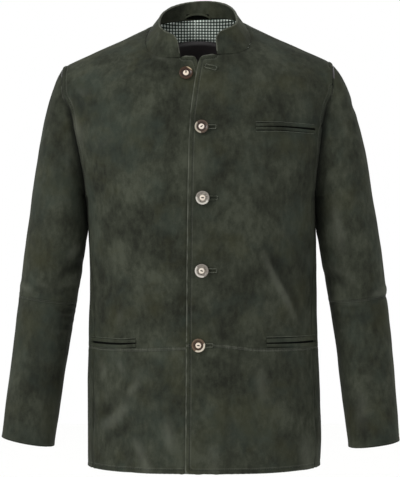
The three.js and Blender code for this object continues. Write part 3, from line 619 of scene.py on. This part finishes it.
# The noises in the suede: size, detail, stretch and where each starts.
suedeNoises = {
    "nap": (11, 4, (1.3, 1.3, 0.7), 1.7), "grain": (1.9, 3, (1, 1, 1), 3.3), "cloud": (55, 5, (1, 1, 0.85), 0),
    "blue": (75, 3, (1, 1, 1), 5.1), "olive": (75, 3, (1, 1, 1), 9.4),
}
fibre = 0.6  # how rough the noises of the fibres and yarns are


def perMetre(size):
    return 1000 / size


# Colours over an edge's distance, which runs from 0 to 1 over edgeReach: shares of the paler tone (rubbing and painted
# highlight) and of the painted shade tones.
edgeTones = [
    # a paler line at each edge, beside its stitches and along flat seams: partly rubbing, partly painted highlight
    ("freeEdge", "worn", [(0.0, 0.85), (0.06, 0.7), (0.11, 0.0), (0.38, 0.0), (0.42, 0.42), (0.47, 0.0)]),
    ("flatSeam", "worn", [(0.0, 0.6), (0.06, 0.6), (0.12, 0.0)]),
    # painted shade where the stitch rows and seams sink into the cloth
    ("freeEdge", "groove", [(0.26, 0.0), (0.315, 0.8), (0.345, 0.8), (0.385, 0.0)]),
    ("flatSeam", "groove", [(0.11, 0.0), (0.14, 0.4), (0.2, 0.0)]),
    ("plainSeam", "groove", [(0.0, 0.75), (0.04, 0.6), (0.09, 0.0)]),
    # painted shade along the arm seam
    ("armSeam", "deepShade", [(0.0, 0.9), (0.05, 0.75), (0.12, 0.0)]),
]


def makeSuede(name, edged=True):
    look = suedeLook
    material, tree, shader = newMaterial(name)
    spot = addNode(tree, "TexCoord", {})["Object"]
    noises = {}
    for kind, (size, detail, stretch, start) in suedeNoises.items():
        placed = addNode(tree, "Mapping", {"Vector": spot, "Location": (start, start, 0), "Scale": stretch})
        noises[kind] = addNode(tree, "TexNoise", {"Vector": placed["Vector"], "Scale": perMetre(size),
                                                  "Detail": detail, "Roughness": fibre})["Fac"]
    nap, grain = noises["nap"], noises["grain"]
    cloud = addNode(tree, "Mix", {0: look["napShare"], 2: noises["cloud"], 3: nap})[0]
    mottling = addNode(tree, "Mix", {0: look["grainShare"], 2: cloud, 3: grain})[0]
    colour = addNode(tree, "ValToRGB", {"Fac": mottling}, look["mottling"])["Color"]
    layers = []  # each a share and the tone that it lays on top
    for tone, most in look["patchMost"].items():
        stops = [(look["patchFrom"], 0.0), (look["patchTo"], most)]
        layers.append((addNode(tree, "ValToRGB", {"Fac": noises[tone]}, stops)["Color"], tone))
    paleEdgePatches = addNode(tree, "ValToRGB", {"Fac": nap}, look["paleEdgePatches"])["Color"]
    for edge, tone, stops in edgeTones if edged else []:
        distance = addNode(tree, "Attribute", {}, attribute_name=edge)["Fac"]
        share = addNode(tree, "ValToRGB", {"Fac": distance}, stops)["Color"]
        if tone == "worn":
            share = addNode(tree, "Math", {0: share, 1: paleEdgePatches}, operation="MULTIPLY")[0]
        layers.append((share, tone))
    for attribute, tone in (("ridgeRubAndHighlight", "worn"), ("shaded", "deepShade")) if edged else []:
        layers.append((addNode(tree, "Attribute", {}, attribute_name=attribute)["Fac"], tone))
    for share, tone in layers:
        colour = addNode(tree, "Mix", {0: share, 6: colour, 7: linear(look[tone])}, data_type="RGBA")[2]
    relief = addNode(tree, "Bump", {"Height": nap, "Strength": look["bump"],
                                    "Distance": look["napDeep"] * mm})["Normal"]
    relief = addNode(tree, "Bump", {"Height": grain, "Strength": look["bump"], "Normal": relief,
                                    "Distance": look["grainDeep"] * mm})["Normal"]
    feed(tree, shader, {"Base Color": colour, "Normal": relief, "Roughness": look["roughness"],
                        "Specular IOR Level": look["specular"], "Sheen Weight": look["sheen"],
                        "Sheen Roughness": look["sheenRoughness"], "Sheen Tint": linear(look["sheenTint"])})
    return material


weaveLook = {"yarn": 0.9, "stretch": 0.12, "bump": 0.25, "deep": 0.12}
plyStops = (0.3, 0.7)  # where along its noise a yarn has its darker and its paler colour


# Acetate satin: brown-black filament yarn, woven so close that it shows only a soft band of shine.
def makeSatin(name, colours, roughness, shine):
    look = weaveLook
    material, tree, shader = newMaterial(name)
    spot = addNode(tree, "TexCoord", {})["Object"]
    along = addNode(tree, "Mapping", {"Vector": spot, "Scale": (1, 1, look["stretch"])})["Vector"]
    weave = addNode(tree, "TexNoise", {"Vector": along, "Scale": perMetre(look["yarn"]), "Detail": 2,
                                       "Roughness": fibre})["Fac"]
    colour = addNode(tree, "ValToRGB", {"Fac": weave}, list(zip(plyStops, colours)))["Color"]
    relief = addNode(tree, "Bump", {"Height": weave, "Strength": look["bump"],
                                    "Distance": look["deep"] * mm})["Normal"]
    feed(tree, shader, {"Base Color": colour, "Normal": relief, "Roughness": roughness, "Specular IOR Level": shine})
    return material


# Cotton gingham: dark green threads crossing white ones, so its squares are white, mid and dark. A pale seam runs down
# the middle of the back.
ginghamLook = {
    "pitch": {"X": 5.3, "Z": 5.0}, "bands": [(0.5, 0.0), (0.64, 0.5)], "white": "#dde5de", "mid": "#56635a",
    "dark": "#161e19", "seamAt": -3.7, "seamWidth": 0.45, "seam": "#aab1aa", "yarn": 0.8, "bump": 0.3, "deep": 0.3,
    "roughness": 0.85, "specular": 0.25,
}


def makeGingham():
    look = ginghamLook
    material, tree, shader = newMaterial("woven cotton gingham")
    spot = addNode(tree, "TexCoord", {})["Object"]
    bands = []
    for axis, pitch in look["pitch"].items():
        # a band texture's period is a tenth of pi at scale 1
        wave = addNode(tree, "TexWave", {"Vector": spot, "Scale": math.pi / 10 * perMetre(pitch)},
                       bands_direction=axis)["Fac"]
        bands.append(addNode(tree, "ValToRGB", {"Fac": wave}, look["bands"])["Color"])
    both = addNode(tree, "Math", {0: bands[0], 1: bands[1]}, operation="ADD")[0]
    squares = [(0.0, look["white"]), (0.5, look["mid"]), (1.0, look["dark"])]
    colour = addNode(tree, "ValToRGB", {"Fac": both}, squares)["Color"]
    across = addNode(tree, "SeparateXYZ", {0: spot})[0]
    seam = addNode(tree, "Math", {0: across, 1: look["seamAt"] * mm, 2: look["seamWidth"] * mm},
                   operation="COMPARE")[0]
    colour = addNode(tree, "Mix", {0: seam, 6: colour, 7: linear(look["seam"])}, data_type="RGBA")[2]
    yarn = addNode(tree, "TexNoise", {"Vector": spot, "Scale": perMetre(look["yarn"]), "Detail": 2,
                                      "Roughness": fibre})["Fac"]
    relief = addNode(tree, "Bump", {"Height": yarn, "Strength": look["bump"],
                                    "Distance": look["deep"] * mm})["Normal"]
    feed(tree, shader, {"Base Color": colour, "Normal": relief, "Roughness": look["roughness"],
                        "Specular IOR Level": look["specular"]})
    return material


threadLook = {"twist": 0.7, "roughness": 0.6}


# Polyester sewing thread, dyed to the suede but a little paler because it lies proud and catches light.
def makeThread(name, colours):
    material, tree, shader = newMaterial(name)
    spot = addNode(tree, "TexCoord", {})["Object"]
    twist = addNode(tree, "TexNoise", {"Vector": spot, "Scale": perMetre(threadLook["twist"]), "Detail": 1,
                                       "Roughness": fibre})["Fac"]
    colour = addNode(tree, "ValToRGB", {"Fac": twist}, list(zip(plyStops, colours)))["Color"]
    feed(tree, shader, {"Base Color": colour, "Roughness": threadLook["roughness"]})
    return material


looks = {
    "suede": makeSuede("dyed green split suede"),
    "bound": makeSuede("dyed green suede binding", edged=False),
    "satin": makeSatin("brown-black acetate satin lining", ("#151112", "#231d1e"), 0.42, 0.5),
    "darkClothAndShadow": makeSatin("near-black cotton, painted shadow", ("#040504", "#080907"), 0.95, 0.05),
    "gingham": makeGingham(),
    "thread": makeThread("green polyester thread", ("#31352c", "#484d41")),
    "paleThread": makeThread("pale green polyester thread", ("#4c5045", "#6a6e61")),
    "buttonThread": makeThread("black button thread", ("#14110f", "#2a2420")),
}
print("materials made")

cages, rims = sortRims()
cloth = {name: makePanel(name, cages[name], rims[name], looks) for name in panels}
print("panels made:", sum(len(p.data.polygons) for p in cloth.values()), "faces")

pocketLine = {  # the slits: x and z of points along each, and how far its lips part there
    "chest_welt": [(98, -177.5, -0.6), (140, -176.8, 0.0), (200, -179.3, 0.7)],
    "hip_welt_right": [(-182, -542.4, 0.8), (-127, -543, 0.5), (-103.5, -541, -0.1)],
    "hip_welt_left": [(116, -541, -0.1), (160, -541.3, 0.4), (203, -541.3, 0.8)],
}
# The hip lips run on to the side: the end that stays, where the other end was and where it goes.
lipEnds = {"hip_welt_right": (-103.5, -171, -184), "hip_welt_left": (116, 196, 205)}
trimDefaults = {"look": "bound", "slot": "suede", "kind": "body", "crease": 0.55}
trims = {
    "lining_check_yoke": {"flat": (0.20, 0.13), "area": 0.0167, "look": "gingham", "slot": "check_cotton", "crease": 1},
    "lining_satin": {"flat": (0.20, 0.15), "area": 0.0248, "look": "satin", "slot": "satin", "crease": 1},
    "hanger_loop": {"flat": (0.05, 0.01), "area": 0.00025, "kind": None},
    "chest_welt_upper": {"flat": (0.102, 0.011), "area": 0.00078},
    "chest_welt_lower": {"flat": (0.102, 0.011), "area": 0.0007},
    "hip_welt_right_upper": {"flat": (0.082, 0.011), "area": 0.00071},
    "hip_welt_right_lower": {"flat": (0.082, 0.011), "area": 0.00071},
    "hip_welt_left_upper": {"flat": (0.09, 0.011), "area": 0.00093},
    "hip_welt_left_lower": {"flat": (0.09, 0.011), "area": 0.0008},
    "buttonhole_1": {"flat": (0.025, 0.0115), "area": 0.00025},
    **{"buttonhole_%d" % i: {"flat": (0.029, 0.01), "area": 0.00024} for i in range(2, 6)},
}
trimLevels = 2
lipSamples = 24
rayFrom = -400  # in front of the jacket

bpy.context.view_layer.update()  # the rays need the panels' final shapes


def onPanel(x, z, names):
    # the place on the outside of the fronts at x and z, and the way the cloth faces there
    for name in names:
        hit, place, normal, face = cloth[name].ray_cast(Vector((x, rayFrom, z)) * mm, Vector((0, 1, 0)))
        if hit:
            return np.array(place) / mm, np.array(normal)
    return None


def frontsAt(x):
    side = "left" if x > 0 else "right"
    return ["front_%s_%s" % (side, level) for level in ("upper", "lower")] + ["back_upper"]


def runOn(places, fixed, old, new):
    # stretches a lip from its fixed end and keeps it on the front
    xs = np.linspace(min(fixed, new), max(fixed, new), lipSamples)
    height = places[:, 2].mean()
    ys = [onPanel(x, height, frontsAt(x))[0][1] for x in xs]
    further = fixed + (places[:, 0] - fixed) * (new - fixed) / (old - fixed)
    slide = np.interp(further, xs, ys) - np.interp(places[:, 0], xs, ys)
    return np.column_stack([further, places[:, 1] + slide, places[:, 2]])


def makeTrim(node, facts):
    facts = {**trimDefaults, **facts}
    piece = smoothPiece(node + "_cloth", cleanCopy(node), trimLevels, facts["crease"])
    mesh = piece.data
    places = placesOf(mesh)
    if facts["kind"]:
        places = places + moveOf(facts["kind"], places)
    if "welt" in node:
        pocket, side = node.rsplit("_", 1)
        if pocket in lipEnds:
            places = runOn(places, *lipEnds[pocket])
        xs, zs, parts = np.array(pocketLine[pocket], float).T
        places[:, 2] += np.interp(places[:, 0], xs, parts) * (1 if side == "upper" else -1)
    putPlaces(mesh, places)
    mesh.materials.append(looks[facts["look"]])
    finish(piece, [node])


for node, facts in trims.items():
    makeTrim(node, facts)
print("linings, welts and buttonholes made")


def joinRows(bm, rows):
    for (a, b), (c, d) in zip(rows[:-1], rows[1:]):
        bm.faces.new((a, c, d, b))


def layRibbon(bm, line, lift):
    # a thin strip on the fronts along points of x, z and half its width
    rows = []
    for x, z, half in line:
        pairs = [onPanel(x, z + side * half, frontsAt(x)) for side in (-1, 1)]
        rows.append([bm.verts.new(place + normal * lift) for place, normal in pairs])
    joinRows(bm, rows)


def finer(line, step):
    xs = np.array([p[0] for p in line], float)
    many = np.linspace(xs[0], xs[-1], int(abs(xs[-1] - xs[0]) / step) + 1)
    return list(zip(many, *(np.interp(many, xs, [p[k] for p in line]) for k in (1, 2))))


# The dark of the open slits, a strip of near-black pocket cloth between the lips darkened as painted shadow, and
# painted shadow lines along the seams that hold the lips' far edges.
lipSeamShadows = {"chest_welt": (7.0, -6.2), "hip_welt_right": (7.4, -7.2), "hip_welt_left": (9, -7.2)}
slitStrip = {"half": 1.1, "lift": 0.35, "step": 4}
seamShadowStrip = {"half": 0.45, "lift": 0.2, "step": 4}
bm = bmesh.new()
for pocket, line in pocketLine.items():
    slit = [(x, z, slitStrip["half"] + part) for x, z, part in finer(line, slitStrip["step"])]
    layRibbon(bm, slit, slitStrip["lift"])
    for row in lipSeamShadows[pocket]:
        seam = [(x, z + row, seamShadowStrip["half"]) for x, z, part in finer(line, seamShadowStrip["step"])]
        layRibbon(bm, seam, seamShadowStrip["lift"])
meshPiece("pocket_slits_and_shadows", bm, [looks["darkClothAndShadow"]])
print("pocket slits made")

stitchLook = {"pitch": 3.4, "length": 2.6, "thick": 0.5, "high": 0.5, "sink": 0.05}
edgeRow, seamRow = ("freeEdge", 6.6), ("flatSeam", 2.6)
stitchLines = {
    "topstitch_fronts": {"pieces": ["front_left_upper", "front_left_lower", "front_right_upper", "front_right_lower"],
                         "along": [edgeRow, seamRow]},
    "topstitch_back": {"pieces": ["back_upper", "back_lower"], "along": [edgeRow, seamRow]},
    "topstitch_sleeves": {"pieces": ["sleeve_left_upper", "sleeve_left_lower", "sleeve_right_upper",
                                     "sleeve_right_lower"], "along": [seamRow]},
}
outerFacing = 0.25  # how squarely a face has to look outwards


def crossingsOf(mesh, attribute, at, kind):
    # where a distance passes "at" over the outside of a piece: each crossed edge's place, and which are neighbours
    values = np.empty(len(mesh.vertices))
    mesh.attributes[attribute].data.foreach_get("value", values)
    places = placesOf(mesh)
    out = outwardOf(kind, np.array([p.center for p in mesh.polygons]) / mm)
    crossings, beside = {}, {}
    for k, polygon in enumerate(mesh.polygons):
        own = values[list(polygon.vertices)]
        if own.min() >= at or own.max() < at or np.dot(polygon.normal, out[k]) < outerFacing:
            continue
        cut = [pair for pair in polygon.edge_keys if (values[pair[0]] < at) != (values[pair[1]] < at)]
        for a, b in cut:
            t = (at - values[a]) / (values[b] - values[a])
            crossings[(a, b)] = (places[a] * (1 - t) + places[b] * t, np.array(polygon.normal))
        if len(cut) == 2:
            for here, there in (cut, cut[::-1]):
                beside.setdefault(here, []).append(there)
    return crossings, beside


def isoLines(mesh, attribute, at, kind):
    crossings, beside = crossingsOf(mesh, attribute, at / edgeReach, kind)
    runs, used = [], set()
    for start in [e for e, n in beside.items() if len(n) == 1] + list(beside):
        run, here = [], start
        while here is not None and here not in used:
            used.add(here)
            run.append(crossings[here])
            here = next((e for e in beside[here] if e not in used), None)
        if len(run) > 2:
            runs.append(run)
    return runs


def stitchShape():
    bm = bmesh.new()
    bmesh.ops.create_uvsphere(bm, u_segments=6, v_segments=4, radius=0.5)
    bmesh.ops.scale(bm, verts=bm.verts, vec=(stitchLook["thick"], stitchLook["high"], stitchLook["length"]))
    return bm


def sewAlong(bm, shape, run, pitch):
    points, normals = (np.array([pair[k] for pair in run]) for k in (0, 1))
    lengths = np.concatenate([[0], np.cumsum(np.linalg.norm(np.diff(points, axis=0), axis=1))])
    for i in range(int(lengths[-1] / pitch)):
        here = (i + 0.5) * pitch
        at, after = (Vector([np.interp(s, lengths, points[:, k]) for k in range(3)]) for s in (here, here + 1))
        normal = Vector([np.interp(here, lengths, normals[:, k]) for k in range(3)]).normalized()
        along = (after - at).normalized()
        if along.length < 0.5:
            continue
        across = normal.cross(along).normalized()
        turn = Matrix((across, along.cross(across), along)).transposed().to_4x4()
        place = Matrix.Translation(at + normal * stitchLook["sink"]) @ turn
        fresh = {v: bm.verts.new(place @ v.co) for v in shape.verts}
        for face in shape.faces:
            bm.faces.new([fresh[v] for v in face.verts])


shape = stitchShape()
for row, facts in stitchLines.items():
    bm = bmesh.new()
    for name in facts["pieces"]:
        for attribute, at in facts["along"]:
            for run in isoLines(cloth[name].data, attribute, at, panels[name]["kind"]):
                sewAlong(bm, shape, run, stitchLook["pitch"])
    meshPiece(row, bm, [looks["thread"]])
print("seams topstitched")

# The pale rows that hold the pockets' lips and go round the buttonholes, as points of x and z.
weltRows = {"chest_welt": (8.2, -7.6), "hip_welt_right": (8.8,), "hip_welt_left": (10.5,)}
weltRow = {"step": 3, "pitch": 2.6}
buttonholeRows = [  # each hole's ends: x of both, z of both
    ((13, 32), (-73.6, -79)), ((9, 31), (-178.6, -178.6)), ((10, 33), (-297.3, -297.3)),
    ((9, 32), (-418.3, -418.3)), ((4, 26), (-543.5, -543.5)),
]
# A ring with squared corners: its cosine and sine are stretched and clipped.
buttonholeRow = {"half": 3.2, "lift": 2.1, "points": 24, "long": 1.25, "wide": 1.5, "pitch": 1.6}


def sewOnFronts(bm, line, names, pitch, lift=0):
    found = [onPanel(x, z, names) for x, z in line]
    sewAlong(bm, shape, [(place + normal * lift, normal) for place, normal in filter(None, found)], pitch)


def ringOf(hole):
    look = buttonholeRow
    (x1, x2), (z1, z2) = hole
    turn = math.atan2(z2 - z1, x2 - x1)
    ring = []
    for i in range(look["points"] + 1):
        side = 2 * math.pi * i / look["points"]
        along = (x2 - x1) / 2 * np.clip(look["long"] * math.cos(side), -1, 1)
        up = look["half"] * np.clip(look["wide"] * math.sin(side), -1, 1)
        ring.append(((x1 + x2) / 2 + along * math.cos(turn) - up * math.sin(turn),
                     (z1 + z2) / 2 + along * math.sin(turn) + up * math.cos(turn)))
    return ring


bm = bmesh.new()
for pocket, rows in weltRows.items():
    for row in rows:
        line = [(x, z + row) for x, z, part in finer(pocketLine[pocket], weltRow["step"])]
        sewOnFronts(bm, line, frontsAt(line[0][0]), weltRow["pitch"])
for hole in buttonholeRows:
    sewOnFronts(bm, ringOf(hole), frontsAt(hole[0][0]), buttonholeRow["pitch"], buttonholeRow["lift"])
meshPiece("pocket_and_buttonhole_stitches", bm, [looks["paleThread"]])
shape.free()
print("pockets and buttonholes stitched")

# Painted shadow behind the hanger loop: a near-black strip, seen in the slit over it.
hangerShadow = {"x": (-20, 20), "z": (27.5, 36.5), "y": 68.2, "columns": 11, "proud": 0.5}


def layHangerShadow():
    bm = bmesh.new()
    rows = []
    for x in np.linspace(*hangerShadow["x"], hangerShadow["columns"]):
        row = []
        for z in hangerShadow["z"]:
            hit, place, normal, face = cloth["collar"].ray_cast(Vector((x, 0, z)) * mm, Vector((0, 1, 0)))
            y = place.y / mm if hit else hangerShadow["y"]
            row.append(bm.verts.new((x, y - hangerShadow["proud"], z)))
        rows.append(row)
    joinRows(bm, rows)
    meshPiece("hanger_shadow", bm, [looks["darkClothAndShadow"]])


layHangerShadow()

# Turned buttons: a dished rim round a raised boss that a fish-eye slot is cut in.
buttonShape = {
    "profile": [(0, 0.25), (2.2, 0.25), (2.2, 2.2), (8.4, 2.45), (10.5, 3.1), (11.4, 4.1), (11.35, 5.0),
                (10.7, 5.5), (9.7, 5.45), (8.9, 5.0), (8.0, 4.3), (6.4, 4.02), (5.1, 4.1), (4.75, 4.55),
                (4.4, 4.95), (3.6, 5.2), (1.9, 5.3), (0, 5.3)],
    "steps": 56, "reach": 12, "slot": (2.7, 1.1, 0.5), "slotHeight": 5.4, "slotFaces": (20, 10),
}
# Where the horn's colours lie, over the noise of its fibres or over the button's radius as a share of its reach.
hornLook = {
    "fibres": (0.35, 1.1, 0.6), "scale": 7.0, "dishStops": (0.35, 0.6), "rimStops": (0.3, 0.58),
    "rimFrom": [(0.66, 0.0), (0.76, 1.0)], "bossTo": [(0.385, 1.0), (0.41, 0.0)], "litArcEdge": 0.12, "litArcMost": 0.95,
    "roughness": 0.3, "specular": 0.25,
}
buttonLooks = {
    "button_1": {"dark": "#1a0c06", "dish": "#2b170c", "rim": "#34200f", "pale": "#b09c80", "boss": "#c9bbab",
                 "litArc": 55, "litArcFrom": 0.72, "slot": 90, "slotUp": 1.6, "lower": 3},
    "button_2": {"dark": "#1f1510", "dish": "#35271f", "rim": "#4c3f35", "pale": "#989081", "boss": "#cbc0b4",
                 "litArc": 200, "litArcFrom": 0.3, "slot": 38, "slotUp": 0},
    "button_3": {"dark": "#38332e", "dish": "#857f76", "rim": "#6a655f", "pale": "#b1ada4", "boss": "#c4b9ab",
                 "litArc": 250, "litArcFrom": 0.1, "slot": 0, "slotUp": 0},
    "button_4": {"dark": "#37312c", "dish": "#7c756c", "rim": "#6b6560", "pale": "#b3aea6", "boss": "#c6bdb0",
                 "litArc": 215, "litArcFrom": 0.15, "slot": -12, "slotUp": 0},
    "button_5": {"dark": "#24180f", "dish": "#3b2918", "rim": "#5c4c3c", "pale": "#b9b0a0", "boss": "#c6b8a8",
                 "litArc": -50, "litArcFrom": 0.25, "slot": -5, "slotUp": 0},
}


# Polished horn: brown or grey, clouded along the horn's fibres, with a painted highlight in a light arc along one side
# of its rim.
def makeHorn(name, look):
    horn = hornLook
    material, tree, shader = newMaterial("polished horn " + name)
    local = addNode(tree, "Attribute", {}, attribute_name="local")["Vector"]
    radius = addNode(tree, "SeparateXYZ", {0: local})[2]
    fibres = addNode(tree, "Mapping", {"Vector": local, "Scale": horn["fibres"],
                                       "Rotation": (0, 0, math.radians(look["slot"]))})["Vector"]
    cloud = addNode(tree, "TexNoise", {"Vector": fibres, "Scale": horn["scale"], "Detail": 4,
                                       "Roughness": fibre})["Fac"]
    dishStops = list(zip(horn["dishStops"], (look["dark"], look["dish"])))
    rimStops = list(zip(horn["rimStops"], (look["dish"], look["rim"])))
    dish = addNode(tree, "ValToRGB", {"Fac": cloud}, dishStops)["Color"]
    rim = addNode(tree, "ValToRGB", {"Fac": cloud}, rimStops)["Color"]
    onRim = addNode(tree, "ValToRGB", {"Fac": radius}, horn["rimFrom"])["Color"]
    # painted highlight: a light arc on one side of the rim
    turn = math.radians(look["litArc"])
    toward = addNode(tree, "VectorMath", {0: local, 1: (math.cos(turn), math.sin(turn), 0)},
                     operation="DOT_PRODUCT")["Value"]
    litArcStops = [(look["litArcFrom"], 0.0), (look["litArcFrom"] + horn["litArcEdge"], horn["litArcMost"])]
    litArc = addNode(tree, "ValToRGB", {"Fac": toward}, litArcStops)["Color"]
    litArc = addNode(tree, "Math", {0: litArc, 1: onRim}, operation="MULTIPLY")[0]
    boss = addNode(tree, "ValToRGB", {"Fac": radius}, horn["bossTo"])["Color"]
    colour = dish
    for share, tone in ((onRim, rim), (litArc, linear(look["pale"])), (boss, linear(look["boss"]))):
        colour = addNode(tree, "Mix", {0: share, 6: colour, 7: tone}, data_type="RGBA")[2]
    feed(tree, shader, {"Base Color": colour, "Roughness": horn["roughness"], "Specular IOR Level": horn["specular"]})
    return material


def buttonStand(node):
    # where a button's back lies on the front, and its turn
    places = np.array([v.co for v in frame["nodes"][node].data.vertices])
    middle = Vector(places.mean(0))
    normal = Vector(np.linalg.svd(places - places.mean(0), full_matrices=False)[2][2])
    if normal.y > 0:
        normal.negate()
    back = min((Vector(p) - middle).dot(normal) for p in places)
    base = middle + normal * back
    base += Vector(bodyMove(np.array([base]) / mm)[0]) * mm
    base.z -= buttonLooks[node].get("lower", 0) * mm
    side = Vector((0, 0, 1)).cross(normal).normalized()
    stand = Matrix((side, normal.cross(side), normal)).transposed().to_4x4()
    return Matrix.Translation(base) @ Matrix.Scale(mm, 4) @ stand


def makeButton(node, look):
    bm = bmesh.new()
    layer = bm.verts.layers.float_vector.new("local")
    ring = [bm.verts.new((r, 0, h)) for r, h in buttonShape["profile"]]
    edges = [bm.edges.new(pair) for pair in zip(ring[:-1], ring[1:])]
    bmesh.ops.spin(bm, geom=ring + edges, cent=(0, 0, 0), axis=(0, 0, 1), angle=2 * math.pi,
                   steps=buttonShape["steps"], use_merge=True)
    bmesh.ops.remove_doubles(bm, verts=bm.verts, dist=1e-3)
    around, down = buttonShape["slotFaces"]
    slot = bmesh.ops.create_uvsphere(bm, u_segments=around, v_segments=down, radius=1)["verts"]
    bmesh.ops.scale(bm, verts=slot, vec=buttonShape["slot"])
    bmesh.ops.translate(bm, verts=slot, vec=(look["slotUp"], 0, buttonShape["slotHeight"]))
    bmesh.ops.rotate(bm, verts=slot, cent=(0, 0, 0), matrix=Matrix.Rotation(math.radians(look["slot"]), 4, "Z"))
    bmesh.ops.recalc_face_normals(bm, faces=bm.faces)
    dark = set(slot)
    for vert in bm.verts:
        x, y = vert.co.xy / buttonShape["reach"]
        vert[layer] = (x, y, math.hypot(x, y))
    for face in bm.faces:
        face.smooth = True
        face.material_index = int(all(v in dark for v in face.verts))
    bmesh.ops.transform(bm, matrix=buttonStand(node), verts=bm.verts)
    mesh = meshOf(node + "_horn", bm)
    mesh.materials.append(makeHorn(node.replace("button_", "button "), look))
    mesh.materials.append(looks["buttonThread"])
    finish(addObject(node + "_horn", mesh), [node])


for node, look in buttonLooks.items():
    makeButton(node, look)
print("buttons made")
